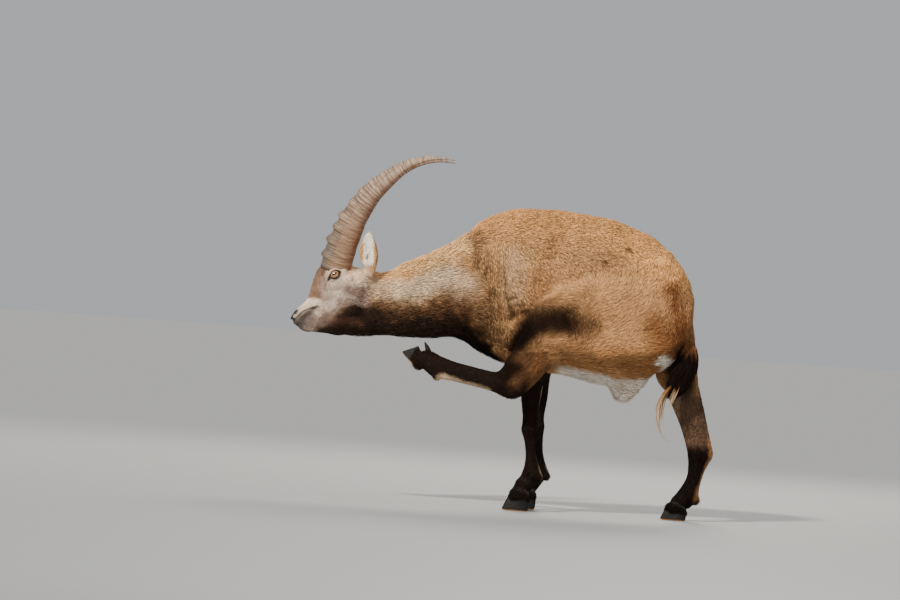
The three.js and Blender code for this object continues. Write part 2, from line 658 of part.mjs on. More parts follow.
const SPREAD_TOE = [[-300, -80, 412], [-293, -72, 438], [-300, -64, 456], [-309, -58, 472]];
const SPREAD_TOE_DETAIL = { rings: evenly(7), around: 12 };
const spreadToeLine = SPREAD_TOE.map((at) => point(...at));
const spreadToe = bar(spreadToeLine, [11, 10, 7, 1], [14, 14, 9, 2], SPREAD_TOE_DETAIL);
const grownThighs = [];
const CORONET_LEAN = 0.5; // how far the hoof's upper edge turns from the sole towards the leg's line
const SPUR_OUT = 14;
const SPUR_DOWN = 22;
for (const { foot, places, parts, toes, behind, side, spurAt, firstCut } of LEGS) {
  const [fetlock, coronetAt] = places.slice(-2);
  const upLeg = fetlock.clone().sub(coronetAt).normalize();
  const coronet = plane(coronetAt, toes.outer.up.clone().lerp(upLeg, CORONET_LEAN));
  const joints = places.slice(1, -1).map((at, i) => bisecting(places[i], at, places[i + 2]));
  joints[0] = firstCut ?? joints[0];
  joints.push(flipped(coronet));

  const grown = parts.map(([name, own, detail], i) => {
    const cuts = [joints[i], i > 0 && flipped(joints[i - 1])].filter(Boolean);
    const neighbours = [parts[i - 1]?.[1], parts[i + 1]?.[1]].filter(Boolean);
    const field = i ? joined(own, neighbours, 18, cuts) : laidOn(torso, own, neighbours, 18, cuts);
    const along = (t) => towards(places[i], places[i + 1], t);
    const spine = [along(i ? -0.05 : 0.1), along(1.05)];
    piece(name, cut(trimmed(wrap(spine, field, detail), cuts), torsoGrown), i ? "dark_coat" : "coat");
    return wrap(spine, (p) => field(p) - 1.3 * JOINT_GAP, detail);
  });

  if (foot.startsWith("hind")) grownThighs.push(grown[0]);

  for (const which of ["outer", "inner"]) {
    const made = toes[which]
      ? trimmed(placedToe(toes[which], -side * inward[which]), [coronet])
      : cut(spreadToe, grown.at(-1));
    piece(`hoof_${foot}_${which}`, made, "hoof");

    const away = behind.clone().cross(upLeg).normalize().multiplyScalar(side * inward[which]);
    const root = fetlock.clone().addScaledVector(away, 12).addScaledVector(behind, spurAt);
    const tip = root.clone().addScaledVector(behind, SPUR_OUT).addScaledVector(upLeg, -SPUR_DOWN);
    const clawLine = [root, towards(root, tip, 0.6), tip];
    const claw = bar(clawLine, [8, 9, 7, 1.5], [7, 8, 6, 1.5], { rings: evenly(4) });
    piece(`dewclaw_${foot}_${which}`, cut(claw, ...grown.slice(-2)), "hoof");
  }
}

// Pouch
const pouchField = laidOn(torso, sheath, [], 1, []);
const pouchLine = [onMidline(275, 372), onMidline(310, 390)];
const pouchMade = wrap(pouchLine, pouchField, { rings: 3, around: 14, capRings: 3 });
piece("pouch", cut(pouchMade, torsoGrown), "pale_coat");

// Tail
// A short root hidden by flat pointed locks. Those at its lower end hang on in long pale wisps.
const TAIL_LINE = [[424, 512], [452, 490], [454, 440], [438, 395], [426, 366]];
const tailPoint = ([x, z, out = 0]) => point(x, sway(448) + out, z);
function lock(places, width, { thick = 0.3, facing = point(1, 0.3, 0), rings = 6 } = {}) {
  const widths = [0.35, 0.9, 1, 0.8, 0.45, 0.06].map((w) => w * width);
  const heights = widths.map((w) => w * thick + 0.6);
  return bar(places.map(tailPoint), heights, widths, { rings: evenly(rings), around: 6, sideways: facing });
}

const tailCore = bar(
  TAIL_LINE.map(tailPoint),
  [15, 19, 21, 17, 9, 1.5],
  [13, 17, 20, 16, 9, 1.5],
  { rings: evenly(6) },
);
const LOCKS_AROUND = 6;
const tailLocks = [];
for (let i = 0; i < LOCKS_AROUND; i++) {
  const angle = (2 * Math.PI * (i + 0.5)) / LOCKS_AROUND;
  const [out, over] = [Math.cos(angle), Math.sin(angle)];
  const facing = point(-over, out, 0);
  const reach = 1 + 0.12 * Math.sin(5 * i);
  tailLocks.push(
    lock([[452 + 12 * out, 486, 11 * over], [455 + 21 * out, 440, 20 * over],
      [440 + 17 * out, 400 - 6 * reach, 15 * over], [426 + 9 * out, 372 - 22 * (reach - 0.9) * 5, 8 * over]],
    14, { facing, thick: 0.4, rings: 4 }),
  );
}
const wisps = [
  lock([[430, 400, -6], [404, 378, -10], [384, 340, -12], [382, 292, -12], [396, 246, -10],
    [421, 224, -8]], 7),
  lock([[432, 410, 4], [412, 384, 2], [396, 350, 0], [391, 308, 0], [398, 268, 2]], 5.5),
  lock([[436, 396, -8], [424, 366, -12], [412, 338, -13], [398, 322, -14]], 6),
];
piece("tail", cut(join(tailCore, ...tailLocks, ...wisps), torsoGrown, ...grownThighs), "dark_coat");

// The origin is the middle of the floor under the whole animal.
const bounds = new THREE.Box3().setFromObject(ibex);
const middle = bounds.getCenter(new THREE.Vector3());
for (const mesh of ibex.children) mesh.geometry.translate(-middle.x, -middle.y, -bounds.min.z);

export default ibex;
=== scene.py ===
# A life-size alpine ibex, a young male on three legs with the left hind foot raised to its throat:
# the skin, its coat, the head's details, eyes, horns and hooves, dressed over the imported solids.
# Places on the animal are in millimetres from a point on the floor between its forefeet. X runs to
# the tail, Z up, and -Y is the animal's left.
import math

import bpy
import numpy as np
import openvdb
from mathutils import Matrix, Vector


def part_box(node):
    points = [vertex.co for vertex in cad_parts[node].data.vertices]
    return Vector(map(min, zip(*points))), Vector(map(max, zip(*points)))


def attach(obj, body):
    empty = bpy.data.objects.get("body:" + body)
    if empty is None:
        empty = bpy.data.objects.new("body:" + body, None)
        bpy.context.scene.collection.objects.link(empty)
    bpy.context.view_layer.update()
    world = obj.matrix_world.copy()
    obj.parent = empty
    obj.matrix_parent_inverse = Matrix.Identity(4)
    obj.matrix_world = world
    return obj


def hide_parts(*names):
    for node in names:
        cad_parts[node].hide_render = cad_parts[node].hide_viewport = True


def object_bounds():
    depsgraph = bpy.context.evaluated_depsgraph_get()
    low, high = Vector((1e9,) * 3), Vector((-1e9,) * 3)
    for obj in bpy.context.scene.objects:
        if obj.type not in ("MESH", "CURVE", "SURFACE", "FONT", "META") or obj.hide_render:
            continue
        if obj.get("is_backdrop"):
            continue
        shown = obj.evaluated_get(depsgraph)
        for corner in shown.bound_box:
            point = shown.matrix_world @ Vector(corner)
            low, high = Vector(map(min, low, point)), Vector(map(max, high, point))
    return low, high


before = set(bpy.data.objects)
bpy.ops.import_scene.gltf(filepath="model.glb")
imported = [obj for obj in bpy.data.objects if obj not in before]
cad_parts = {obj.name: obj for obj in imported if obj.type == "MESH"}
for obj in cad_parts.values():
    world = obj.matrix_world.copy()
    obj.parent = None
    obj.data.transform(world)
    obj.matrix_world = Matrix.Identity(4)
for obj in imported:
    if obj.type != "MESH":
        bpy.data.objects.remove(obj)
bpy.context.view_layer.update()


# Camera
# A long lens far out on the animal's left, level with its belly, rolled as the photograph is. The
# tip of the left horn tells where the point between the forefeet lies in the frame.
HORN_TIP = (-253.0, -145.0, 994.0)
CAMERA_PLACE = (-242.0, -14500.0, 594.0)
CAMERA_LENS = 200.0
CAMERA_ROLL = math.radians(4.0)
CAMERA_REACH = 120.0

tip_low, tip_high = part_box("horn_left")
GROUND = np.array([tip_high.x * 1000 - HORN_TIP[0], tip_low.y * 1000 - HORN_TIP[1], 0.0])


def metres(points):
    """Places on the animal, in millimetres, as places in the frame."""
    return (np.asarray(points, float) + GROUND) / 1000


camera_data = bpy.data.cameras.new("camera")
camera_data.lens = CAMERA_LENS
camera_data.clip_end = CAMERA_REACH
camera = bpy.data.objects.new("camera", camera_data)
facing = Matrix.Rotation(-CAMERA_ROLL, 4, "Y") @ Matrix.Rotation(math.pi / 2, 4, "X")
camera.matrix_world = Matrix.Translation(metres(CAMERA_PLACE)) @ facing
bpy.context.scene.collection.objects.link(camera)
bpy.context.scene.camera = camera


# The room
# A plain pale room: a low sun from the upper left as in the photograph, a wide soft fill from the
# camera's side, and a light from behind that draws the edge of the back.
FLOOR_HALF = 60.0
FLOOR_TONE = (0.36, 0.365, 0.37)
FLOOR_ROUGHNESS = 0.7
ROOM_TONE = (0.90, 0.93, 0.97)
ROOM_STRENGTH = 0.50
LIT_PLACE = (0, 0, 0.55)
SUN_PLACE = (-2.3, -4.0, 3.9)
SUN_STRENGTH = 4.8
SUN_TONE = (1.0, 0.94, 0.84)
SUN_SPREAD = math.radians(5)
LIGHTS = [
    # name, place, size, watts, colour
    ("fill_light", (1.6, -5.0, 1.2), 3.6, 50, (0.92, 0.95, 1.0)),
    ("rim_light", (0.6, 3.8, 3.2), 2.0, 130, (1.0, 0.92, 0.80)),
]


def placed_light(data, place):
    """Hangs a light at a place, turned to the middle of the animal."""
    light = bpy.data.objects.new(data.name, data)
    light.location = place
    light.rotation_euler = (Vector(LIT_PLACE) - Vector(place)).to_track_quat("-Z", "Y").to_euler()
    bpy.context.scene.collection.objects.link(light)


sun = bpy.data.lights.new("sun", "SUN")
sun.energy = SUN_STRENGTH
sun.angle = SUN_SPREAD
sun.color = SUN_TONE
placed_light(sun, SUN_PLACE)
for name, place, size, watts, colour in LIGHTS:
    soft = bpy.data.lights.new(name, "AREA")
    soft.shape = "DISK"
    soft.size = size
    soft.energy = watts
    soft.color = colour
    placed_light(soft, place)

world = bpy.data.worlds.new("studio")
world.use_nodes = True
world.node_tree.nodes["Background"].inputs["Color"].default_value = (*ROOM_TONE, 1)
world.node_tree.nodes["Background"].inputs["Strength"].default_value = ROOM_STRENGTH
bpy.context.scene.world = world

floor_mesh = bpy.data.meshes.new("floor")
corners = [(-FLOOR_HALF, -FLOOR_HALF, 0), (FLOOR_HALF, -FLOOR_HALF, 0)]
corners += [(FLOOR_HALF, FLOOR_HALF, 0), (-FLOOR_HALF, FLOOR_HALF, 0)]
floor_mesh.from_pydata(corners, [], [(0, 1, 2, 3)])
floor = bpy.data.objects.new("floor", floor_mesh)
bpy.context.scene.collection.objects.link(floor)
floor_paint = bpy.data.materials.new("floor_paint")
floor_paint.use_nodes = True
floor_shader = floor_paint.node_tree.nodes["Principled BSDF"]
floor_shader.inputs["Base Color"].default_value = (*FLOOR_TONE, 1)
floor_shader.inputs["Roughness"].default_value = FLOOR_ROUGHNESS
floor_mesh.materials.append(floor_paint)
floor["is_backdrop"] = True


# Flesh
# The body under the coat, one skin from muzzle to hooves. The solids of flesh are filled into one
# field of distances in millimetres, negative inside, melted smooth and drawn in by the coat's depth.
FLESH = [
    "torso", "neck", "head", "thigh_left", "thigh_right", "shank_left", "shank_right", "shin_left",
    "shin_right", "pastern_hind_left", "pastern_hind_right", "forearm_left", "forearm_right",
    "cannon_left", "cannon_right", "pastern_fore_left", "pastern_fore_right", "pouch",
]
EARS = ["ear_left", "ear_right"]


def box_of(name):
    """The low and the high corner of a solid's box, in millimetres on the animal."""
    return [np.array(corner) * 1000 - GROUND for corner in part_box(name)]


def triangles_of(names):
    """The corners and triangles of some solids, in millimetres on the animal."""
    corners, faces, first = [], [], 0
    for name in names:
        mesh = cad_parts[name].data
        mesh.calc_loop_triangles()
        co = np.empty(len(mesh.vertices) * 3, np.float32)
        mesh.vertices.foreach_get("co", co)
        tri = np.empty(len(mesh.loop_triangles) * 3, np.int32)
        mesh.loop_triangles.foreach_get("vertices", tri)
        corners.append(co.reshape(-1, 3) * 1000 - GROUND)
        faces.append(tri.reshape(-1, 3) + first)
        first += len(mesh.vertices)
    return np.concatenate(corners).astype(np.float32), np.concatenate(faces).astype(np.uint32)


BAND = 26.0


class Field:
    """A box of distances on a regular grid, true within the band around the surface."""

    def __init__(self, low, high, step, thrift=0.0):
        self.step = step
        self.thrift = thrift
        self.start = np.floor(np.array(low) / step).astype(int)
        self.shape = np.ceil(np.array(high) / step).astype(int) - self.start + 1
        self.values = np.full(self.shape, BAND, np.float32)

    def axes(self):
        return [(np.arange(n) + s) * self.step for n, s in zip(self.shape, self.start)]

    def grid(self):
        x, y, z = [a.astype(np.float32) for a in self.axes()]
        return x[:, None, None], y[None, :, None], z[None, None, :]

    def level_set(self, corners, faces):
        scale = openvdb.createLinearTransform(voxelSize=self.step)
        return openvdb.FloatGrid.createLevelSetFromPolygons(
            corners, triangles=faces, transform=scale, halfWidth=BAND / self.step
        )

    def fill(self, corners, faces, closing):
        """Distances to closed solids. Gaps and creases narrower than twice the closing are filled."""
        grown = self.level_set(corners, faces)
        points, triangles, quads = grown.convertToPolygons(isovalue=closing)
        triangles = np.concatenate([triangles, quads[:, :3], quads[:, [0, 2, 3]]])
        again = self.level_set(points, triangles)
        again.copyToArray(self.values, ijk=tuple(int(s) for s in self.start))
        self.values += closing
        return self

    def soften(self, width):
        """Melts the field over a width in millimetres."""
        reach = int(math.ceil(2.2 * width / self.step))
        weights = np.exp(-0.5 * (np.arange(-reach, reach + 1) * self.step / width) ** 2)
        weights = (weights / weights.sum()).astype(np.float32)
        for axis in range(3):
            margins = [(reach, reach) if a == axis else (0, 0) for a in range(3)]
            padded = np.pad(self.values, margins, "edge")
            total = np.zeros_like(self.values)
            for i, weight in enumerate(weights):
                total += weight * np.take(padded, range(i, i + self.values.shape[axis]), axis)
            self.values = total
        return self

    def mesh(self):
        grid = openvdb.FloatGrid(BAND)
        grid.transform = openvdb.createLinearTransform(voxelSize=self.step)
        grid.copyFromArray(self.values, ijk=tuple(int(s) for s in self.start))
        return grid.convertToPolygons(isovalue=0.0, adaptivity=self.thrift)


def melted(a, b, k):
    """Two fields joined, with a fillet of about k."""
    h = np.maximum(k - np.abs(a - b), 0) / k
    return np.minimum(a, b) - h * h * k / 4


def carved(a, b, k):
    """The first field with the second taken away, with a rounded edge of about k."""
    return -melted(-a, b, k)


def smoothstep(low, high, x):
    """0 below the low value and 1 above the high one, with a smooth rise between them."""
    t = np.clip((x - low) / (high - low), 0, 1)
    return t * t * (3 - 2 * t)


def bar(p, start, end, radii, flat=1.0):
    """The distance to a tapered bar with round ends; flat is its width sideways as a share."""
    start, end = np.array(start, float), np.array(end, float)
    along = end - start
    x, y, z = (c - s for c, s in zip(p, start))
    t = np.clip((x * along[0] + y * along[1] + z * along[2]) / (along @ along), 0, 1)
    radius = radii[0] + (radii[1] - radii[0]) * t
    dx, dy, dz = x - t * along[0], (y - t * along[1]) / flat, z - t * along[2]
    return np.sqrt(dx * dx + dy * dy + dz * dz) - radius


def path_bar(p, places, radii, flat=1.0):
    """The distance to a chain of tapered bars."""
    lengths = zip(places, places[1:], radii, radii[1:])
    return np.minimum.reduce([bar(p, a, b, (r0, r1), flat) for a, b, r0, r1 in lengths])


BODY_STEP = 5.0
BODY_CLOSING = 6.0
BODY_SOFTNESS = 7.0
BODY_MARGIN = 30
COAT_DEPTHS = {"trunk": 6.0, "head": 2.0, "legs": 2.6}
flesh_corners, flesh_faces = triangles_of(FLESH)
body_low = flesh_corners.min(0) - BODY_MARGIN
body_low[2] = -BODY_MARGIN
body = Field(body_low, flesh_corners.max(0) + BODY_MARGIN, BODY_STEP)
body.fill(flesh_corners, flesh_faces, BODY_CLOSING).soften(BODY_SOFTNESS)

# The skin laps over the top of each hoof as a cuff, and rises round the root of each dewclaw.
LEG_ENDS = {
    # a place in the middle of the pastern, and the way from it to the toes
    "hind_left": ((-258, -102, 402), (-0.91, 0.1, 0.4)),
    "hind_right": ((480, 47, 84), (-0.3, 0, -0.95)),
    "fore_left": ((22, -50, 118), (-0.25, 0, -0.97)),
    "fore_right": ((44, 94, 120), (-0.25, 0, -0.97)),
}
TOES = ("outer", "inner")

# Each cuff is given by the way from the toes to the leg, and how far it comes down from the top. The
# neck of a toe joins the hoof to its pastern, and a mound carries a dewclaw.
CUFF = ((0.22, 0, 0.975), 22.0)
RAISED_CUFFS = {
    "hind_left_outer": ((0.99, -0.1, -0.1), 27.0),
    "hind_left_inner": ((0.16, -0.3, -0.94), 18.0),
}
CUFF_THICKNESS = 3.8
CUFF_MELT = 14
TOE_NECK_RADII = (15, 17)
TOE_NECK_RISE = 9
MOUND_RADII = (12.5, 10)
MOUND_ROOT = 16
MOUND_TIP = 4
MOUND_MELT = 12
CLAW_MARGIN = 24.0
CLAW_CLOSING = 1.5


def claw_field(name, step, thrift=0.0):
    """The field of one hoof or dewclaw, and the corners of its box."""
    low, high = box_of(name)
    solid = Field(low - CLAW_MARGIN, high + CLAW_MARGIN, step, thrift)
    return solid.fill(*triangles_of([name]), CLAW_CLOSING), low, high


def into_pastern(low, high, pastern):
    """The middle of a dewclaw's box, and the way from it into the pastern."""
    middle = (low + high) / 2
    inwards = np.array(pastern) - middle
    return middle, inwards / np.linalg.norm(inwards)


cuffs = []
for leg, (pastern, _) in LEG_ENDS.items():
    for toe in TOES:
        cuff, low, high = claw_field(f"hoof_{leg}_{toe}", BODY_STEP)
        toward, depth = RAISED_CUFFS.get(f"{leg}_{toe}", CUFF)
        toward = np.array(toward) / np.linalg.norm(toward)
        top = (triangles_of([f"hoof_{leg}_{toe}"])[0] @ toward).max()
        height = sum(axis * way for axis, way in zip(cuff.grid(), toward))
        cuff.values = np.maximum(cuff.values - CUFF_THICKNESS, top - depth - height)
        window = tuple(slice(a, a + n) for a, n in zip(cuff.start - body.start, cuff.shape))
        body.values[window] = melted(body.values[window], cuff.values, CUFF_MELT)
        hoof_middle = (low + high) / 2
        in_pastern = np.array(pastern) * 0.55 + hoof_middle * 0.45
        toe_neck = bar(body.grid(), hoof_middle + toward * TOE_NECK_RISE, in_pastern, TOE_NECK_RADII)
        body.values = melted(body.values, toe_neck, CUFF_MELT)
        cuffs.append((low, high, toward))
        middle, inwards = into_pastern(*box_of(f"dewclaw_{leg}_{toe}"), pastern)
        mound = bar(body.grid(), middle + inwards * MOUND_ROOT, middle + inwards * MOUND_TIP, MOUND_RADII)
        body.values = melted(body.values, mound, MOUND_MELT)


def coat_depth(x, y, z):
    """How far the skin lies under the tips of the coat."""
    on_head = 1 - smoothstep(-560, -470, x)
    on_legs = 1 - smoothstep(300, 420, z)
    on_raised_leg = (1 - smoothstep(-60, 0, x)) * (1 - smoothstep(-120, -60, y))
    on_raised_leg = on_raised_leg * (1 - smoothstep(430, 480, z))
    slim = np.maximum(on_legs, on_raised_leg)
    depth = COAT_DEPTHS["trunk"] + (COAT_DEPTHS["head"] - COAT_DEPTHS["trunk"]) * on_head
    return depth + (COAT_DEPTHS["legs"] - depth) * slim


# Behind the shoulder the skin folds: places along each fold in side view, and its radii.
SHOULDER_FOLDS = [
    ([(-62, 612), (-38, 560), (-14, 512)], [4.5, 26.5, 22.5]),
    ([(-36, 590), (-18, 548), (2, 506)], [3.5, 25.5, 21.5]),
]
FOLDS_APART = 118
FOLDS_SWAY = 20
FOLD_MELT = 16
p = body.grid()
for places, radii in SHOULDER_FOLDS:
    for side in (-1, 1):
        fold = [(x, side * FOLDS_APART + FOLDS_SWAY, z) for x, z in places]
        body.values = carved(body.values, path_bar(p, fold, radii), FOLD_MELT)
body.values += coat_depth(*p)

# The body ends at a cut across the nape, and the head laps over it.
NAPE_CUT = (-470.0, 575.0)
NAPE_FACING = (0.984, -0.178)
NAPE_OVERLAP = 22.0


def beyond_nape(p):
    """How far places lie behind the cut across the nape."""
    return (p[0] - NAPE_CUT[0]) * NAPE_FACING[0] + (p[2] - NAPE_CUT[1]) * NAPE_FACING[1]


body.values = np.maximum(body.values, -beyond_nape(p))


# Head
# The head's skin is worked on a finer grid of its own, with the right side mirrored on the left: the
# bone of brow and cheek, the lips and the nose, the lids round the eye's ball, and the ears.
HEAD_STEP = 1.5
HEAD_THRIFT = 0.03
HEAD_LOW = (-712, -92, 440)
HEAD_HIGH = (-420, 92, 792)
HEAD_CLOSING = 3.0
HEAD_SOFTNESS = 4.2
head = Field(HEAD_LOW, HEAD_HIGH, HEAD_STEP, HEAD_THRIFT)
head.fill(*triangles_of(["head", "neck"]), HEAD_CLOSING)
p = head.grid()
mirrored = (p[0], np.abs(p[1]), p[2])

# The eyes' balls, and the roots of the horns and of the ears: places, radii, breadth as a share.
BALL_INSET = 2
ROOTS = [
    ([(-574, 30, 640), (-576, 32, 672)], [30, 30], 0.62),
    ([(-484, 46, 640), (-482, 56, 664)], [13, 11], 1.0),
]
eye_low, eye_high = box_of("eye_right")
EYE = (eye_low + eye_high) / 2
EYE_RADIUS = (eye_high[0] - eye_low[0]) / 2
ball_radii = (EYE_RADIUS - BALL_INSET, EYE_RADIUS - BALL_INSET)
head.values = np.minimum(head.values, bar(mirrored, EYE, EYE + (0.01, 0, 0), ball_radii))
for places, radii, breadth in ROOTS:
    head.values = np.minimum(head.values, path_bar(mirrored, places, radii, breadth))
head.soften(HEAD_SOFTNESS)
head.values += coat_depth(*p)


def on_side(x, z, inwards=0.0):
    """The place on the head's right side seen at X and Z, or somewhat inwards of it."""
    i, k = (int(round(v / HEAD_STEP)) - s for v, s in zip((x, z), head.start[[0, 2]]))
    column = head.values[i, :, k]
    y = head.axes()[1]
    inside = np.nonzero((column < 0) & (y >= 0))[0]
    return (x, float(y[inside[-1]]) - inwards if len(inside) else 0.0, z)


# Bone and muscle: the brow, the cheekbone, the wing of the nostril and the corner of the jaw.
HEAD_FORMS = [
    # places, radii, how softly it melts in
    ([(-604, 30, 655), (-580, 41, 664), (-556, 44, 660)], [7, 9, 7], 12),
    ([(-606, 36, 612), (-575, 47, 616), (-535, 52, 632)], [8, 10, 9], 16),
    ([(-678, 14, 527), (-676, 19, 521), (-682, 17, 514)], [5, 5, 4], 8),
    ([(-560, 40, 520), (-525, 46, 545)], [18, 20], 26),
]
for places, radii, melt in HEAD_FORMS:
    head.values = melted(head.values, path_bar(mirrored, places, radii), melt)

# Lips: a roll above and below the line of the mouth, the line itself, and the crease at its corner.
MOUTH = [
    (-697, 500), (-691, 503), (-684, 510), (-676, 518), (-664, 530), (-652, 537), (-640, 541), (-632, 542),
]
MOUTH_RADII = [2, 2.2, 2.2, 2.2, 2.1, 2, 1.8, 1.4]
MOUTH_CREASE = [(-632, 542), (-622, 549)]
LIPS = [
    # shift from the line along X and Z, depth under the skin, radii
    (-4, 6, 5.0, [6, 6.5, 7, 6.5, 6, 4]),
    (5, -6, 5.5, [5.5, 6.5, 7, 7, 6, 4]),
]
LIP_MELT = 7
lips = []
for ahead, up, inwards, radii in LIPS:
    lips.append(([on_side(x + ahead, z + up, inwards) for x, z in MOUTH[1:-1]], radii))
for places, radii in lips:
    head.values = melted(head.values, path_bar(mirrored, places, radii), LIP_MELT)
mouth_line = [on_side(x, z, -0.4) for x, z in MOUTH]
head.values = carved(head.values, path_bar(mirrored, mouth_line, MOUTH_RADII), 4)
crease = [on_side(x, z) for x, z in MOUTH_CREASE]
head.values = carved(head.values, path_bar(mirrored, crease, [2, 1]), LIP_MELT)

# The nostrils, and the groove that parts the nose pad and the upper lip.
NOSTRIL = [(-697, 8, 519), (-694, 12, 526), (-687, 17, 529), (-681, 20, 525)]
NOSTRIL_RADII = [2.4, 3.4, 3.0, 1.4]
NOSE_GROOVE = [(-700, 0, 520), (-696, 0, 504)]
NOSE_GROOVE_RADII = [1.6, 1.6]
head.values = carved(head.values, path_bar(mirrored, NOSTRIL, NOSTRIL_RADII), 3)
head.values = carved(head.values, path_bar(p, NOSE_GROOVE, NOSE_GROOVE_RADII), 4)

# The eye's own directions: along the opening to the rear, over it, and out of the head.
EYE_TILT = 0.52
EYE_LIFT = 0.16
along = np.array([math.cos(EYE_TILT), 0, math.sin(EYE_TILT)])
out = np.array([-0.10, math.cos(EYE_LIFT), math.sin(EYE_LIFT)])
out -= along * (out @ along)
out /= np.linalg.norm(out)
over = np.cross(out, along)
LID_THICKNESS = 3.0
LID_REACH = 22.0
OPENING_HALF = 15.5
OPENING_UPPER = 10.0
OPENING_LOWER = 9.0
LID_MELT = 7
LID_CREASE = [(-14, 13, 13), (-2, 17.5, 12), (12, 14.5, 12), (19, 6, 10)]
LID_CREASE_RADII = [0.8, 1.4, 1.4, 0.8]
TEAR_RADII = [2.6, 2.2, 0.8]


def eye_place(q):
    """Places on the head measured from the right eye: along the opening, over it, and outwards."""
    d = [c - e for c, e in zip(q, EYE)]
    return [d[0] * w[0] + d[1] * w[1] + d[2] * w[2] for w in (along, over, out)]


def lid_opening(u, v):
    """Negative inside the almond between the lids."""
    left = np.clip(1 - (np.abs(u) / OPENING_HALF) ** 2, -1, 1)
    return np.maximum(v - OPENING_UPPER * left, -v - OPENING_LOWER * left) * 0.85


u, v, w = eye_place(mirrored)
from_eye = np.sqrt(u * u + v * v + w * w)
lids = np.abs(from_eye - EYE_RADIUS - LID_THICKNESS / 2) - LID_THICKNESS / 2 - 0.3
lids = np.maximum(lids, np.sqrt(u * u + v * v) - LID_REACH)
lids = np.where(w > 0, lids, 9)
head.values = melted(head.values, lids, LID_MELT)
tear = [EYE - along * 14 + out * 11 - over * 1, on_side(-600, 620, -0.5), on_side(-605, 610)]
head.values = carved(head.values, path_bar(mirrored, tear, TEAR_RADII), 4)
crease = [EYE + along * a + over * b + out * c for a, b, c in LID_CREASE]
head.values = carved(head.values, path_bar(mirrored, crease, LID_CREASE_RADII), 4)
opening = np.where(w > 4, lid_opening(u, v), 9)
head.values = carved(head.values, opening, 1.6)
head.values = np.maximum(head.values, EYE_RADIUS + 0.15 - from_eye)

# The ears are thin, so they are melted in last, with little softening.
EAR_CLOSING = 0.8
EAR_SOFTNESS = 1.3
EAR_COAT = 0.7
EAR_MELT = 9
ears = Field(HEAD_LOW, HEAD_HIGH, HEAD_STEP)
ears.fill(*triangles_of(EARS), EAR_CLOSING).soften(EAR_SOFTNESS)
head.values = melted(head.values, ears.values + EAR_COAT, EAR_MELT)
head.values = np.maximum(head.values, beyond_nape(p) - NAPE_OVERLAP)


def mesh_object(name, places, faces):
    """A plain mesh piece from places in millimetres and faces."""
    data = bpy.data.meshes.new(name)
    places = metres(places).astype(np.float32)
    counts = np.concatenate([np.full(len(f), f.shape[1], np.int32) for f in faces])
    corners = np.concatenate([f.ravel() for f in faces]).astype(np.int32)
    data.vertices.add(len(places))
    data.vertices.foreach_set("co", places.ravel())
    data.loops.add(len(corners))
    data.loops.foreach_set("vertex_index", corners)
    data.polygons.add(len(counts))
    starts = np.concatenate([[0], np.cumsum(counts)[:-1]])
    data.polygons.foreach_set("loop_start", starts.astype(np.int32))
    data.update(calc_edges=True)
    data.shade_smooth()
    piece = bpy.data.objects.new(name, data)
    bpy.context.scene.collection.objects.link(piece)
    return piece


def field_object(name, field):
    """A plain mesh piece from the surface of a field."""
    points, triangles, quads = field.mesh()
    return mesh_object(name, points, [f for f in (triangles, quads) if len(f)])


def merged(piece, other):
    """Two closed pieces as one, with what lies inside either taken away."""
    union = piece.modifiers.new("union", "BOOLEAN")
    union.operation = "UNION"
    union.solver = "MANIFOLD"
    union.object = other
    bpy.context.view_layer.update()
    whole = bpy.data.meshes.new_from_object(piece.evaluated_get(bpy.context.evaluated_depsgraph_get()))
    piece.modifiers.remove(union)
    piece.data = whole
    bpy.data.objects.remove(other)
    whole.shade_smooth()
    whole.materials.clear()
    return piece


skin = merged(field_object("skin", body), field_object("head_skin", head))
skin.data.name = "skin"
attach(skin, "root")
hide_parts(*FLESH, *EARS)


# Markings
# The colours that the skin and the coat share, as linear values painted over one another in soft
# bands. A band is given by its middle line in side view or in space, its half breadth and its edge.
# These tones come back in many places.
# Besides the markings, some bands are painted light and shade: the lit tops of the back, rump and muzzle, a
# highlight behind the shoulder, and dark creases at the shoulder and rump.
TAN = (0.61, 0.320, 0.138)
GOLD = (0.90, 0.450, 0.160)
OCHRE = (0.44, 0.205, 0.075)
WITHERS = (0.19, 0.100, 0.050)
STRAW = (0.68, 0.480, 0.300)
CREAM = (0.80, 0.640, 0.460)
WHITE = (0.97, 0.880, 0.740)
RUST = (0.20, 0.070, 0.024)
FOXY = (0.30, 0.125, 0.046)
UMBER = (0.080, 0.034, 0.016)
DARK = (0.0085, 0.0042, 0.0028)

# Tones of one place on the trunk and the neck.
RIBS_HIGHLIGHT = (0.90, 0.600, 0.350)
PALE_NECK = (0.95, 0.710, 0.470)
APRICOT_NAPE = (0.95, 0.560, 0.240)
BRISKET = (0.15, 0.078, 0.043)
THROAT = (0.034, 0.0190, 0.0115)

# Tones of the legs.
STOCKING = (0.0150, 0.0080, 0.0052)
THIGH_PATCH = (0.018, 0.0085, 0.005)
THIGH_BELT = (0.26, 0.130, 0.054)
SHANK_EDGE = (0.24, 0.105, 0.040)
KNEE = (0.150, 0.070, 0.032)
HIND_SHANK = (0.072, 0.045, 0.034)
HEEL = (0.46, 0.220, 0.085)

# Tones of the head.
GREY = (0.63, 0.480, 0.395)
TEMPLE = (0.97, 0.690, 0.440)
BROW = (0.28, 0.160, 0.105)
BROW_EDGE = (0.38, 0.255, 0.185)
EYE_RING = (0.74, 0.580, 0.435)
CHEEK = (0.130, 0.082, 0.060)
CHEEK_STREAK = (0.17, 0.100, 0.072)
PALE_AND_LIT_MUZZLE = (1.0, 0.830, 0.610)
JAW = (0.16, 0.075, 0.048)
CHIN = (0.20, 0.135, 0.105)
LIP = (0.100, 0.088, 0.082)
BARE = (0.006, 0.0055, 0.0055)

# The back bows sideways, first to the right as far as the shoulder, and then more to the left.
FORE_SWAY = 28.0
HIND_SWAY = 88.0


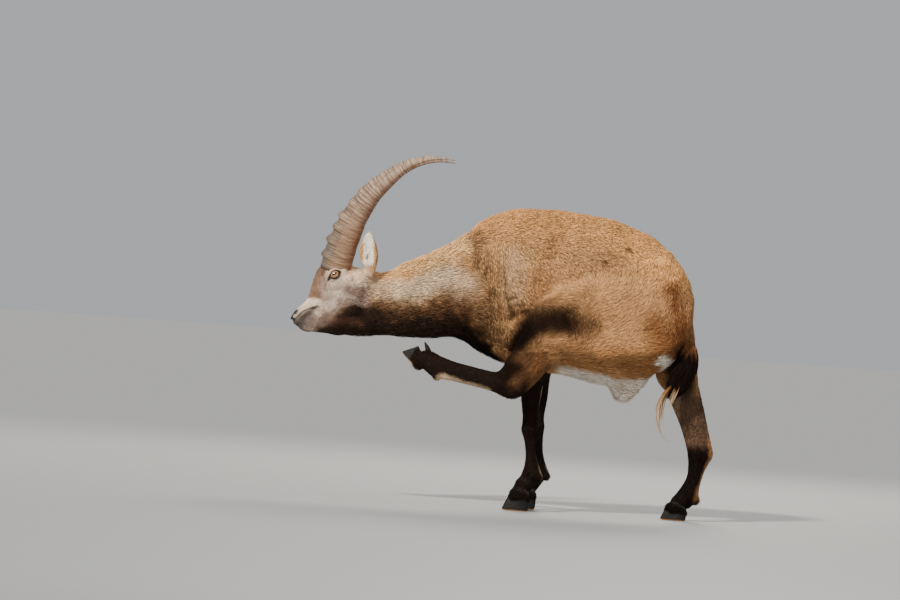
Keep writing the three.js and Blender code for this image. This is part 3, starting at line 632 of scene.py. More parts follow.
def midline(x):
    """How far the spine stands to the right at each X."""
    return FORE_SWAY * smoothstep(-420, 60, x) - HIND_SWAY * smoothstep(120, 560, x) ** 2


def to_bar(q, start, end):
    """The distance of places to a straight line between two points, and how far along each is."""
    start, end = np.array(start, float), np.array(end, float)
    axis = end - start
    t = np.clip((q - start) @ axis / (axis @ axis), 0, 1)
    return np.linalg.norm(q - start - t[:, None] * axis, axis=1), t


def band(q, places, half, soft):
    """1 on a line in side view or in space, fading to 0 over its soft edge."""
    flat = q[:, [0, 2]] if len(places[0]) == 2 else q
    distance = np.min([to_bar(flat, a, b)[0] for a, b in zip(places, places[1:])], axis=0)
    return 1 - smoothstep(half - soft, half + soft, distance)


LATTICE_SIDE = 32
LATTICE = np.random.default_rng(7).random((LATTICE_SIDE,) * 3).astype(np.float32)


def mottle(q, size, stretch=(1, 1, 1)):
    """Smooth noise from 0 to 1 with blots of a size in millimetres."""
    scaled = q / (size * np.array(stretch))
    cell = np.floor(scaled).astype(int)
    f = scaled - cell
    f = f * f * (3 - 2 * f)
    total = np.zeros(len(q))
    for corner in np.ndindex(2, 2, 2):
        weight = np.prod(np.where(corner, f, 1 - f), axis=1)
        total += weight * LATTICE[tuple(((cell + corner) % LATTICE_SIDE).T)]
    return total


# The legs' middles in space, and the edges of the dark throat, cheek and pale belly in side view.
HIND_LEFT = [(-48, -160, 360), (-262, -104, 398), (-312, -90, 426)]
HIND_RIGHT = [(420, 76, 440), (514, 64, 198), (486, 47, 70), (458, 42, 42)]
FORE_LEFT = [(8, -62, 430), (13, -54, 246), (29, -50, 108), (0, -50, 58)]
FORE_RIGHT = [(36, 106, 430), (34, 98, 250), (52, 94, 110), (23, 94, 58)]
THROAT_LINE = [
    (-700, 440), (-660, 474), (-640, 486), (-618, 503), (-599, 520), (-558, 553), (-506, 570),
    (-450, 560), (-400, 546), (-330, 556), (-270, 574), (-220, 564), (-165, 530), (-130, 488),
    (-93, 430), (-40, 384), (90, 350),
]
CHEEK_LINE = [(-660, 505), (-632, 521), (-575, 576), (-550, 606), (-498, 616), (-440, 590)]
BELLY_LINE = [(60, 428), (82, 427), (167, 420), (244, 402), (319, 401), (383, 408), (420, 412)]

# The rear edge of the standing hind leg by height, the flecks on the left flank with their sizes, and
# the middle of the right ear.
HEEL_HEIGHTS = [40, 70, 198, 300, 440]
HEEL_BACKS = [488, 506, 537, 524, 496]
FLECKS = [((250, 779), 8), ((185, 739), 7), ((161, 700), 4)]
EAR_LINE = [(-482, 52, 655), (-485, 68, 700), (-488, 76, 735), (-487, 82, 780)]


def marked(q, normals):
    """The coat's colour at places on the animal, with the skin's outward directions there."""
    x, y, z = q.T
    both = np.stack([x, np.abs(y), z], axis=1)
    left = y < midline(x)
    wave = (mottle(q, 34) - 0.5) * 40 + (mottle(q, 13) - 0.5) * 24
    fleck = smoothstep(0.42, 0.72, mottle(q, 7, (1, 1, 2)))
    colour = np.tile(np.array(TAN), (len(q), 1))

    def paint(tone, mask):
        colour[:] = colour + (np.array(tone) - colour) * np.clip(mask, 0, 1)[:, None]

    # trunk and neck
    # The top of the back is painted brighter gold, a painted highlight where light falls from above, and
    # the top of the rump, which turns away from the sun, is painted gold as painted light.
    paint(GOLD, 0.85 * smoothstep(740, 850, z))
    paint(GOLD, 0.9 * band(q, [(250, 800), (389, 726)], 40, 40))
    # A painted highlight on the ribs just behind the shoulder.
    paint(RIBS_HIGHLIGHT, 0.45 * band(q, [(-75, 740), (-64, 620)], 26, 26))
    paint(OCHRE, 0.6 * band(q, [(34, 819), (-4, 651)], 24, 24) * (0.3 + 0.7 * fleck))
    # Darker flecked hair along the front of the shoulder, deepened by painted shade in the crease there.
    paint(WITHERS, 0.95 * band(q, [(-209, 785), (-164, 712), (-126, 590)], 40, 32) * (0.3 + 0.7 * fleck))
    # A thin dark line, painted shade in the crease of the first fold behind the shoulder.
    paint(WITHERS, 0.8 * band(q, [(-98, 713), (-84, 620), (-60, 575), (-32, 548)], 3.5 + wave * 0.08, 5))
    paint(STRAW, 0.9 * band(q, [(-470, 622), (-389, 602), (-290, 664), (-222, 636)], 44 + wave * 0.3, 30))
    paint(PALE_NECK, 0.5 * band(q, [(-400, 618), (-330, 622), (-270, 660)], 26 + wave * 0.3, 24))
    paint(GOLD, 0.8 * band(q, [(-450, 664), (-392, 664), (-320, 716)], 24, 18))
    paint(GOLD, 0.7 * band(q, [(-450, 700), (-330, 740), (-190, 812)], 20, 16))
    paint(APRICOT_NAPE, 0.85 * band(q, [(-440, 672), (-336, 698), (-230, 750)], 26, 16))
    paint(WITHERS, 0.5 * band(q, [(-380, 560), (-230, 600), (-170, 560)], 30, 30) * (0.3 + 0.7 * fleck))
    paint(BRISKET, 0.75 * band(q, [(-250, 592), (-166, 566), (-100, 500)], 30, 34) * (x < -60))
    paint(OCHRE, 0.75 * band(q, [(120, 458), (341, 450), (420, 540)], 40, 36))
    paint(RUST, 0.5 * band(q, [(280, 430), (345, 436), (420, 500)], 22, 20))
    paint(FOXY, 0.95 * band(q, [(366, 562), (404, 520)], 38, 32))
    paint(RUST, 0.8 * band(q, [(436, 580), (452, 520)], 26, 24) * (0.4 + 0.6 * fleck))
    # A rusty line down the rump, darkened as painted shade in the groove between rump and thigh.
    paint(RUST, 0.95 * band(q, [(394, 679), (419, 610), (434, 536)], 20, 17) * (0.6 + 0.4 * fleck))
    paint(OCHRE, 0.8 * band(q, [(462, 640), (482, 560), (488, 470)], 20, 18))
    below = z - np.interp(x, *zip(*THROAT_LINE)) + wave
    fore = (x < 110) * ((y > -120) | (x < -60))
    paint(UMBER, 0.85 * smoothstep(44, -4, below) * fore)
    paint(THROAT, smoothstep(6, -34, below) * fore)
    paint(DARK, 0.97 * smoothstep(4, -30, below) * fore * smoothstep(-270, -190, x))
    for place, size in FLECKS:
        spot = band(q, [place, (place[0] + 5, place[1] - 3)], size, 4)
        paint(DARK, 0.8 * spot * left * (fleck * 0.5 + 0.5))

    # raised left hind leg
    on_thigh = (y < -60) * (x > -140)
    paint(UMBER, 0.75 * band(q, [(60, 562), (160, 560)], 38 + wave * 0.5, 34) * on_thigh)
    patch = band(q, [(-22, 505), (8, 558), (86, 568)], 42 + wave * 0.3, 26)
    paint(THIGH_PATCH, 0.96 * patch * on_thigh)
    paint(DARK, 0.95 * band(q, [(-16, 530), (-52, 466), (-62, 410)], 28, 18) * on_thigh)
    paint(THIGH_BELT, 0.8 * band(q, [(14, 482), (100, 478), (189, 466)], 18, 18) * on_thigh)
    paint(UMBER, 0.9 * band(q, [(20, 450), (-48, 360)], 46, 16) * on_thigh * (z < 470))
    edge = band(q, [(36, 448), (0, 402), (-38, 360)], 18 + wave * 0.4, 14)
    paint(SHANK_EDGE, 0.8 * edge * on_thigh)
    paint(STOCKING, 0.97 * band(q, [(-36, -158, 396), *HIND_LEFT], 48, 8))
    paint(KNEE, 0.8 * band(q, [(-2, 412), (-30, 382)], 16 + wave * 0.3, 16) * on_thigh)
    stripe = band(q, [(-246, 366), (-112, 336)], 13 + wave * 0.15, 7) * (y < -60)
    paint(STRAW, 0.95 * stripe * smoothstep(0.15, -0.3, normals[:, 2]))

    # belly, pouch and groin
    under = z - np.interp(x, *zip(*BELLY_LINE)) + wave * 0.25
    pale = smoothstep(7, -7, under) * smoothstep(58, 84, x) * (x < 400) * ((y < 40) | (x < 330))
    paint(WHITE, 0.95 * pale)
    paint(CREAM, 0.5 * band(q, [(268, 392), (300, 352)], 30, 12) * (z < 402))
    paint(WHITE, 0.98 * band(q, [(371, 404), (398, 466)], 17, 4) * left)

    # right hind leg
    hind = (x > 300) * ((y > 0) | (z < 430))
    paint(DARK, 0.95 * band(q, [(380, 520), (428, 440), (440, 400)], 44, 20) * (y > 10))
    paint(DARK, 0.95 * band(q, [(452, 496), (448, 440), (432, 392)], 34, 16) * (x > 402))
    shank = band(q, HIND_RIGHT[:2], 64, 10) * hind
    paint(HIND_SHANK, 0.9 * shank * smoothstep(410, 350, z + wave))
    paint(DARK, band(q, HIND_RIGHT[1:], 46, 8) * hind * smoothstep(262, 200, z + wave))
    behind = x - np.interp(z, HEEL_HEIGHTS, HEEL_BACKS) + wave * 0.2
    paint(HEEL, 0.85 * hind * smoothstep(-4, 10, behind) * (z < 460) * smoothstep(50, 100, z))

    # forelegs
    for line in (FORE_LEFT, FORE_RIGHT):
        paint(STOCKING, 0.98 * band(q, line, 52, 10) * smoothstep(460, 400, z + wave * 0.4))
        rear = [(px + back, py, pz) for (px, py, pz), back in zip(line[:3], (40, 33, 24))]
        stripe = band(q, rear, 9 + wave * 0.1, 5) * smoothstep(0.1, 0.4, normals[:, 0])
        paint(STRAW, 0.7 * stripe * (z < 372))

    # head
    head_mask = smoothstep(-468, -512, x + wave * 0.4) * (z < 690)
    jaw = smoothstep(14, -26, below)
    paint(GREY, head_mask * (1 - jaw))
    paint(TEMPLE, 0.85 * band(q, [(-552, 664), (-505, 642), (-462, 622)], 32, 22) * head_mask)
    cheek = z - np.interp(x, *zip(*CHEEK_LINE)) + wave * 0.8
    blots = smoothstep(0.35, 0.65, mottle(q, 15))
    blots = smoothstep(6, -22, cheek) * (0.25 + 0.75 * blots)
    paint(CHEEK, 0.7 * blots * head_mask * (1 - jaw))
    paint(BROW_EDGE, 0.6 * band(q, [(-616, 612), (-632, 588)], 18, 14) * head_mask)
    paint(CREAM, 0.4 * band(q, [(-590, 603), (-566, 590)], 15, 14) * head_mask)
    paint(CREAM, 0.5 * band(q, [(-540, 622), (-500, 612)], 14, 12) * head_mask)
    paint(BROW, 0.95 * band(q, [(-612, 676), (-640, 640), (-648, 600), (-640, 572)], 24, 9))
    paint(WITHERS, 0.5 * band(q, [(-618, 662), (-634, 612)], 16, 12) * fleck)
    streak = band(q, [(-540, 598), (-487, 596)], 15 + wave * 0.5, 13)
    paint(CHEEK_STREAK, 0.75 * streak * head_mask)
    u, v, w = eye_place(both.T)
    around = np.sqrt((u / 1.2) ** 2 + (v * np.where(v > 0, 0.85, 1.1)) ** 2)
    paint(EYE_RING, 0.8 * (1 - smoothstep(20, 32, around)) * (w > -16) * head_mask)
    paint(WITHERS, 0.75 * band(q, [(-614, 650), (-616, 636), (-611, 621)], 2.6, 2.2))
    # The pale top of the muzzle, brightened further as a painted highlight where light falls on it.
    paint(PALE_AND_LIT_MUZZLE, 0.97 * band(q, [(-690, 536), (-664, 553), (-628, 556)], 13, 5))
    paint(JAW, 0.6 * band(q, [(-604, 516), (-560, 508), (-513, 512)], 12 + wave * 0.5, 12))
    paint(CHIN, 0.8 * band(q, [(-644, 508), (-622, 500), (-600, 514)], 16 + wave * 0.2, 12))
    paint(LIP, 0.85 * band(q, [(-688, 500), (-674, 500), (-660, 512), (-648, 526)], 14 + wave * 0.3, 10))
    paint(UMBER, 0.5 * band(q, [(-672, 510), (-650, 530), (-630, 541)], 5, 4))
    paint(CREAM, 0.95 * band(q, [(a - 6, b + 8) for a, b in MOUTH[1:-1]], 7, 2.5) * (x > -694))
    paint(LIP, 0.8 * band(q, [(-644, 540), (-622, 547)], 4, 3))

    # ears
    for side in (-1, 1):
        line = [(ex, side * ey, ez) for ex, ey, ez in EAR_LINE]
        on_ear = band(q, line, 34, 3) * smoothstep(666, 680, z) * (np.sign(y) == side)
        inner = smoothstep(-0.05, 0.3, normals[:, 1] * side)
        inner = inner * band(q, [(-484, 684), (-487, 735), (-488, 768)], 15.5, 3)
        paint(TAN, 0.85 * on_ear)
        paint(WHITE, on_ear * inner)

    paint(BARE, bare(q))
    return colour


def bare(q):
    """1 where the skin has no hair: nose pad, lids' rims, tear ducts and the line of the mouth."""
    x, y, z = q.T
    both = np.stack([x, np.abs(y), z], axis=1)
    pad = band(both, [(-697, 3, 530), (-701, 4, 518), (-698, 3, 504)], 16.0, 2.2)
    pad = np.maximum(pad, band(both, [(-700, 7, 521), (-693, 14, 525), (-684, 19, 528)], 9.5, 2.2))
    u, v, w = eye_place(both.T)
    left = np.clip(1 - (np.abs(u + 0.5) / (OPENING_HALF + 5.5)) ** 2, -1, 1)
    rim = np.maximum(v - (OPENING_UPPER + 5.2) * left, -v - (OPENING_LOWER + 3.6) * left)
    rim = smoothstep(1.2, -1.2, rim) * (w > 2)
    duct = [tuple(EYE - along * 15 + out * 11), (-598, 40, 622), (-604, 40, 611)]
    duct = band(both, duct, 5, 2) * (x < -590)
    line = 0.75 * band(q, MOUTH, 2.6, 1.2) * (z < 546)
    slit = band(q, [(-490, 692), (-487, 704)], 2.4, 1.5) * (np.abs(y) > 50)
    return np.maximum.reduce([pad, rim, duct, line, slit])


def coordinates(data):
    """The points of a mesh, in millimetres on the animal."""
    co = np.empty(len(data.vertices) * 3, np.float32)
    data.vertices.foreach_get("co", co)
    return co.reshape(-1, 3).astype(float) * 1000 - GROUND


def outward(data):
    """The outward directions at the points of a mesh."""
    normals = np.empty(len(data.vertices) * 3, np.float32)
    data.vertex_normals.foreach_get("vector", normals)
    return normals.reshape(-1, 3).astype(float)


def store(data, name, values):
    """Keeps a value, a vector or a colour with each point of a mesh."""
    values = np.asarray(values, np.float32)
    kind, field = ("FLOAT", "value") if values.ndim == 1 else ("FLOAT_VECTOR", "vector")
    data.attributes.new(name, kind, "POINT").data.foreach_set(field, values.ravel())


# Where hair grows, the skin takes the coat's colours painted darker, as painted shade under the coat.
SHADE_UNDER_COAT = 0.65
skin_places = coordinates(skin.data)
skin_normals = outward(skin.data)
skin_bare = bare(skin_places)
skin_colours = marked(skin_places, skin_normals) * (SHADE_UNDER_COAT + (1 - SHADE_UNDER_COAT) * skin_bare)[:, None]
store(skin.data, "coat_colour", skin_colours)
store(skin.data, "bare", skin_bare)


class Nodes:
    """A short way to lay out the nodes of a material or of a group."""

    def __init__(self, tree):
        self.tree = tree

    def add(self, kind, values=None, **settings):
        node = self.tree.nodes.new(kind)
        for name, value in settings.items():
            setattr(node, name, value)
        for socket, value in (values or {}).items():
            self.feed(node.inputs[socket], value)
        return node

    def feed(self, socket, value):
        if isinstance(value, bpy.types.NodeSocket):
            self.tree.links.new(value, socket)
        else:
            socket.default_value = value

    def math(self, operation, *values):
        node = self.add("ShaderNodeMath", operation=operation)
        for socket, value in zip(node.inputs, values):
            self.feed(socket, value)
        return node.outputs[0]

    def vector_math(self, operation, *values, scale=None):
        node = self.add("ShaderNodeVectorMath", operation=operation)
        for socket, value in zip(node.inputs, values):
            self.feed(socket, value)
        if scale is not None:
            self.feed(node.inputs["Scale"], scale)
        return node.outputs["Value"] if operation in ("LENGTH", "DOT_PRODUCT") else node.outputs["Vector"]

    def map(self, value, low, high, to_low=0.0, to_high=1.0):
        spans = {"Value": value, "From Min": low, "From Max": high, "To Min": to_low, "To Max": to_high}
        return self.add("ShaderNodeMapRange", spans, interpolation_type="SMOOTHSTEP").outputs["Result"]

    def mix(self, share, one, other):
        node = self.add("ShaderNodeMix", data_type="RGBA")
        for socket, value in zip((node.inputs[0], node.inputs[6], node.inputs[7]), (share, one, other)):
            self.feed(socket, value if isinstance(value, (float, bpy.types.NodeSocket)) else (*value, 1))
        return node.outputs[2]

    def attribute(self, name, output="Vector"):
        return self.add("ShaderNodeAttribute", attribute_name=name).outputs[output]


def material(name, roughness, specular=0.5):
    """A new material, its nodes and its main shader."""
    made = bpy.data.materials.new(name)
    made.use_nodes = True
    shader = made.node_tree.nodes["Principled BSDF"]
    shader.inputs["Roughness"].default_value = roughness
    shader.inputs["Specular IOR Level"].default_value = specular
    return made, Nodes(made.node_tree), shader.inputs


hide, nodes, shader = material("skin_hide", 0.8)
bareness = nodes.attribute("bare", "Fac")
place = nodes.add("ShaderNodeTexCoord").outputs["Object"]
pores = nodes.add("ShaderNodeTexVoronoi", {"Vector": place, "Scale": 520.0}, feature="DISTANCE_TO_EDGE")
grain = nodes.add("ShaderNodeTexNoise", {"Vector": place, "Scale": 900.0, "Detail": 4.0})
height = nodes.math("ADD", nodes.math("MULTIPLY", pores.outputs["Distance"], 0.6), grain.outputs["Fac"])
bump = nodes.add("ShaderNodeBump", {"Height": height, "Strength": 0.3, "Distance": 0.001})
nodes.feed(shader["Base Color"], nodes.attribute("coat_colour"))
nodes.feed(shader["Roughness"], nodes.map(bareness, 0.0, 1.0, 0.85, 0.36))
nodes.feed(shader["Normal"], bump.outputs["Normal"])
skin.data.materials.append(hide)


# Coat
# Short guard hairs in flat tufts that lie along the body and overlap like shingles. Each line is a
# run of the coat: its piece, the way the hair lies along it, and its tufts' length, width and lift.
RUNS = [
    ("face", (-690, 0, 522), (-652, 0, 585), 16, 5.5, 0.95, 0.06),
    ("face", (-650, 0, 590), (-612, 0, 676), 26, 8.0, 1.1, 0.08),
    ("face", (-672, 0, 482), (-560, 0, 488), 18, 10.0, 1.6, 0.14),
    ("cheek", (-664, 20, 522), (-560, 46, 600), 22, 7.0, 1.0, 0.06),
    ("cheek", (-600, 40, 655), (-520, 50, 650), 16, 8.0, 1.1, 0.08),
    ("cheek", (-655, 24, 505), (-560, 38, 520), 16, 9.0, 1.15, 0.09),
    ("cheek", (-590, 36, 560), (-470, 52, 560), 30, 13.0, 1.5, 0.12),
    ("ear", (-482, 52, 655), (-487, 84, 780), 24, 8.0, 1.5, 0.14),
    ("nape", (-560, 0, 690), (-450, 0, 670), 14, 14.0, 1.6, 0.16),
    ("nape", (-470, 0, 665), (-160, 24, 805), 34, 25.0, 2.4, 0.20),
    ("neck", (-480, 46, 600), (-170, 84, 620), 42, 24.0, 2.0, 0.14),
    ("throat", (-540, 0, 488), (-150, 20, 470), 40, 26.0, 2.5, 0.20),
    ("throat", (-150, 0, 560), (-40, 20, 430), 60, 24.0, 2.5, 0.18),
    ("back", (-160, 24, 805), (200, 20, 805), 60, 22.0, 2.0, 0.14),
    ("back", (200, 10, 805), (440, -50, 700), 60, 22.0, 2.0, 0.14),
    ("shoulder", (-130, 110, 720), (-50, 110, 470), 46, 22.0, 2.0, 0.13),
    ("flank", (-20, 120, 680), (150, 112, 540), 70, 22.0, 2.0, 0.13),
    ("belly", (-60, 20, 430), (380, 0, 400), 50, 24.0, 2.4, 0.16),
    ("belly", (250, -4, 372), (320, -10, 372), 26, 15.0, 2.0, 0.18),
    ("rump", (440, -60, 700), (478, -30, 470), 50, 20.0, 2.3, 0.15),
    ("thigh_left", (370, -90, 720), (300, -130, 590), 60, 21.0, 2.0, 0.13),
    ("thigh_left", (300, -125, 600), (90, -156, 530), 60, 21.0, 2.0, 0.13),
    ("thigh_left", (350, -90, 490), (70, -150, 470), 46, 22.0, 2.3, 0.15),
    ("thigh_right", (330, 100, 690), (350, 104, 560), 60, 20.0, 2.0, 0.13),
    ("thigh_right", (350, 90, 600), (425, 80, 440), 60, 20.0, 2.0, 0.13),
    ("leg_hind_left", (48, -150, 540), (-44, -160, 362), 40, 15.0, 2.0, 0.14),
    ("leg_hind_left", (36, -165, 452), (-48, -165, 352), 20, 28.0, 2.4, 0.24),
    ("leg_hind_left", (-48, -160, 360), (-262, -104, 398), 28, 10.0, 1.7, 0.12),
    ("leg_hind_left", (-262, -104, 398), (-322, -88, 430), 28, 12.0, 1.7, 0.18),
    ("leg_hind_left", (-304, -92, 424), (-330, -98, 432), 24, 14.0, 1.6, 0.04),
    ("leg_hind_right", (420, 76, 440), (514, 64, 205), 34, 14.0, 2.0, 0.13),
    ("leg_hind_right", (514, 64, 198), (486, 47, 70), 26, 10.0, 1.7, 0.12),
    ("leg_hind_right", (552, 64, 190), (520, 46, 76), 12, 17.0, 1.7, 0.30),
    ("leg_hind_right", (486, 47, 70), (450, 42, 30), 26, 13.0, 1.7, 0.12),
    ("leg_hind_right", (464, 44, 60), (446, 42, 34), 28, 17.0, 1.6, 0.03),
    ("leg_fore_left", (-30, -80, 540), (10, -62, 420), 44, 17.0, 2.2, 0.14),
    ("leg_fore_left", (8, -62, 430), (13, -54, 246), 32, 12.0, 1.8, 0.12),
    ("leg_fore_left", (13, -54, 246), (29, -50, 108), 22, 10.0, 1.7, 0.12),
    ("leg_fore_left", (29, -50, 108), (-8, -50, 46), 26, 13.0, 1.7, 0.10),
    ("leg_fore_left", (6, -50, 74), (-12, -50, 48), 28, 17.0, 1.6, 0.03),
    ("leg_fore_right", (10, 110, 540), (36, 106, 420), 44, 17.0, 2.2, 0.14),
    ("leg_fore_right", (36, 106, 430), (34, 98, 250), 32, 12.0, 1.8, 0.12),
    ("leg_fore_right", (34, 98, 250), (52, 94, 110), 22, 10.0, 1.7, 0.12),
    ("leg_fore_right", (52, 94, 110), (15, 94, 46), 26, 13.0, 1.7, 0.10),
    ("leg_fore_right", (29, 94, 74), (11, 94, 48), 28, 17.0, 1.6, 0.03),
]
PAIRED = {"cheek", "ear", "neck", "shoulder", "flank"}
COVER = 4.9
DENSER = {"face": 1.1, "cheek": 1.1, "back": 1.1, "flank": 1.1, "ear": 1.2}

runs = []
for piece, start, end, *sizes in RUNS:
    start, end = np.array(start, float), np.array(end, float)
    if piece in PAIRED:
        flipped = np.array([1, -1, 1])
        runs.append((f"{piece}_right", start, end, *sizes))
        runs.append((f"{piece}_left", start * flipped, end * flipped, *sizes))
    else:
        runs.append((piece, start, end, *sizes))


def lie_of(q):
    """For places on the skin: the nearest run, and the way, length, width and lift of the hair."""
    weights = np.empty((len(runs), len(q)))
    for i, (_, start, end, radius, *_) in enumerate(runs):
        weights[i] = 1 / (np.maximum(to_bar(q, start, end)[0] - radius, 0) + 7) ** 3
    nearest = weights.argmax(0)
    weights /= weights.sum(0)
    ways = np.array([(end - start) / np.linalg.norm(end - start) for _, start, end, *_ in runs])
    sizes = np.array([run[4:] for run in runs])
    ways, sizes = weights.T @ ways, weights.T @ sizes
    both = np.stack([q[:, 0], np.abs(q[:, 1]), q[:, 2]], axis=1)
    from_eye = both - EYE
    distance = np.linalg.norm(from_eye, axis=1)
    beside_eye = (1 - smoothstep(24, 40, distance))[:, None]
    away = from_eye / distance[:, None]
    away[:, 1] *= np.where(q[:, 1] < 0, -1, 1)
    ways = ways + beside_eye * (1.6 * away)
    sizes[:, 0] *= 1 - 0.4 * beside_eye[:, 0]
    return nearest, ways, sizes


skin.data.calc_loop_triangles()
corners = np.empty(len(skin.data.loop_triangles) * 3, np.int32)
skin.data.loop_triangles.foreach_get("vertices", corners)
corners = corners.reshape(-1, 3)
a, b, c = (skin_places[corners[:, i]] for i in range(3))
areas = np.linalg.norm(np.cross(b - a, c - a), axis=1) / 2
face_middles = (a + b + c) / 3
face_runs, _, face_sizes = lie_of(face_middles)
face_bare = bare(face_middles)
face_normals = np.cross(b - a, c - a) / (2 * areas[:, None] + 1e-9)


def under_horns(q):
    """True for places hidden in the root of a horn."""
    both = (q[:, 0], np.abs(q[:, 1]), q[:, 2])
    return bar(both, (-576, 32, 692), (-568, 33, 722), (34, 34), 0.6) < 0


density = (1 - smoothstep(0.3, 0.6, face_bare)) / (face_sizes[:, 0] * face_sizes[:, 1])
density[under_horns(face_middles)] = 0
for low, high, toward in cuffs:
    on_hoof = np.all((face_middles > low - 6) & (face_middles < high + 6), axis=1)
    density[on_hoof & (face_normals @ toward < -0.5)] = 0
wanted = areas * density

# Each tuft has a patch of this size on the map for baking, inside a margin round the whole map.
PATCH = 0.003
MARGIN = 0.03


def bake_map(data, unwrapped, spots, faces):
    """A map for baking in which each tuft is one small patch at its root's place."""
    uv = (unwrapped[:, None, :] + spots * PATCH / 2).reshape(-1, 2)
    data.uv_layers.new(name="OFBake").data.foreach_set("uv", uv[faces].astype(np.float32).ravel())


# How much the tufts vary, how deep they are rooted, where they are broadest, how far they rise there
# and arch across, and the painted shade that darkens their roots and edges against their middles, with
# a painted highlight at their tips.
TUFT_SCATTER = 0.13
TUFT_LENGTHS = (0.75, 1.3)
TUFT_LIFTS = (0.6, 1.35)
TUFT_WIDTHS = (0.7, 1.15)
TUFT_SKEW = 0.05
TUFT_ROOT = 1.2
TUFT_MIDDLE = 0.42
TUFT_RISE = 0.72
TUFT_CREST = 0.4
TUFT_PAINTED_SHADING = np.array([0.70, 0.94, 1.0, 0.94, 1.08])
TUFT_FACES = np.array([[0, 2, 1], [0, 3, 2], [0, 1, 3], [4, 1, 2], [4, 2, 3], [4, 3, 1]])
TUFT_SPOTS = np.array([[0, -1], [-1, 0], [0, 0], [1, 0], [0, 1]])


def tufts(name, roots, normals, ways, lengths, widths, lifts, colours, unwrapped, random):
    """One mesh of flat bent tufts: each has a root, three points round its middle, and a tip."""
    count = len(roots)
    lean = ways - normals * np.sum(ways * normals, axis=1)[:, None]
    lean += random.normal(0, TUFT_SCATTER, (count, 3))
    lean -= normals * np.sum(lean * normals, axis=1)[:, None]
    lean /= np.linalg.norm(lean, axis=1)[:, None]
    sideways = np.cross(normals, lean)
    lengths = lengths * random.uniform(*TUFT_LENGTHS, count)
    rise = lengths * lifts * random.uniform(*TUFT_LIFTS, count)
    half = widths * random.uniform(*TUFT_WIDTHS, count) / 2
    root = roots - normals * TUFT_ROOT
    middle = roots + lean * (TUFT_MIDDLE * lengths)[:, None] + normals * (TUFT_RISE * rise)[:, None]
    left = middle - sideways * half[:, None]
    right = middle + sideways * half[:, None]
    crest = middle + normals * (TUFT_CREST * half)[:, None]
    tip = roots + lean * lengths[:, None] + normals * rise[:, None]
    tip += sideways * (random.normal(0, TUFT_SKEW, count) * lengths)[:, None]
    points = np.stack([root, left, crest, right, tip], axis=1).reshape(-1, 3)
    faces = (np.arange(count)[:, None, None] * 5 + TUFT_FACES).reshape(-1, 3)
    piece = mesh_object(name, points, [faces])
    # Each tuft's colour carries painted shade at its root and edges and a painted highlight at its tip.
    store(piece.data, "coat_colour", (colours[:, None, :] * TUFT_PAINTED_SHADING[None, :, None]).reshape(-1, 3))
    store(piece.data, "skin_normal", np.repeat(normals, 5, axis=0))
    across = np.array([[0, 0], [-1, TUFT_MIDDLE], [0, TUFT_MIDDLE], [1, TUFT_MIDDLE], [0, 1]])
    own = np.repeat(random.random((count, 1)) * 60, 5, axis=0)
    store(piece.data, "strand", np.concatenate([np.tile(across, (count, 1)), own], axis=1))
    bake_map(piece.data, unwrapped, TUFT_SPOTS, faces.ravel())
    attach(piece, "root")
    return piece


def unwrap(q, nearest, name):
    """Places unrolled round their runs: along the run, and round it, each run in a strip of its own."""
    strips = [i for i, run in enumerate(runs) if run[0] == name]
    uv = np.zeros((len(q), 2))
    for row, i in enumerate(strips):
        _, start, end, radius, *_ = runs[i]
        here = nearest == i
        axis = (end - start) / np.linalg.norm(end - start)
        side = np.cross(axis, (0, 1, 0) if abs(axis[1]) < 0.8 else (1, 0, 0))
        side /= np.linalg.norm(side)
        away = q[here] - start
        t = (away @ axis + 3 * radius) / (np.linalg.norm(end - start) + 6 * radius)
        turn = np.arctan2(away @ np.cross(axis, side), away @ side) / (2 * math.pi) + 0.5
        uv[here, 0] = np.clip(t, 0, 1) * (1 - 2 * MARGIN) + MARGIN
        uv[here, 1] = (row + MARGIN + turn * (1 - 2 * MARGIN)) / len(strips)
    return uv


def hair_fibres():
    """A shader group that streaks the coat's colour along each tuft or strand."""
    tree = bpy.data.node_groups.new("hair_fibres", "ShaderNodeTree")
    for name, kind, way in (
        ("Colour", "NodeSocketColor", "INPUT"),
        ("Strand", "NodeSocketVector", "INPUT"),
        ("Stretch", "NodeSocketVector", "INPUT"),
        ("Streaks", "NodeSocketFloat", "INPUT"),
        ("Colour", "NodeSocketColor", "OUTPUT"),
        ("Fibre", "NodeSocketFloat", "OUTPUT"),
    ):
        tree.interface.new_socket(name, in_out=way, socket_type=kind)
    nodes = Nodes(tree)
    given = nodes.add("NodeGroupInput").outputs
    place = nodes.vector_math("MULTIPLY", given["Strand"], given["Stretch"])
    fibre = nodes.add("ShaderNodeTexNoise", {"Vector": place, "Scale": 1.5, "Detail": 2.0}).outputs["Fac"]
    streak = nodes.math("MULTIPLY", nodes.math("SUBTRACT", fibre, 0.5), given["Streaks"])
    streaked = nodes.vector_math("SCALE", given["Colour"], scale=nodes.math("ADD", streak, 1.0))
    put_out = nodes.add("NodeGroupOutput").inputs
    nodes.feed(put_out["Colour"], streaked)
    nodes.feed(put_out["Fibre"], fibre)
    return tree


HAIR_FIBRES = hair_fibres()


def fibres(nodes, stretch, streaks):
    """The streaked colour of the hair and its fibres, in a material."""
    values = {"Colour": nodes.attribute("coat_colour", "Color"), "Strand": nodes.attribute("strand")}
    values |= {"Stretch": stretch, "Streaks": streaks}
    outputs = nodes.add("ShaderNodeGroup", values, node_tree=HAIR_FIBRES).outputs
    return outputs["Colour"], outputs["Fibre"]


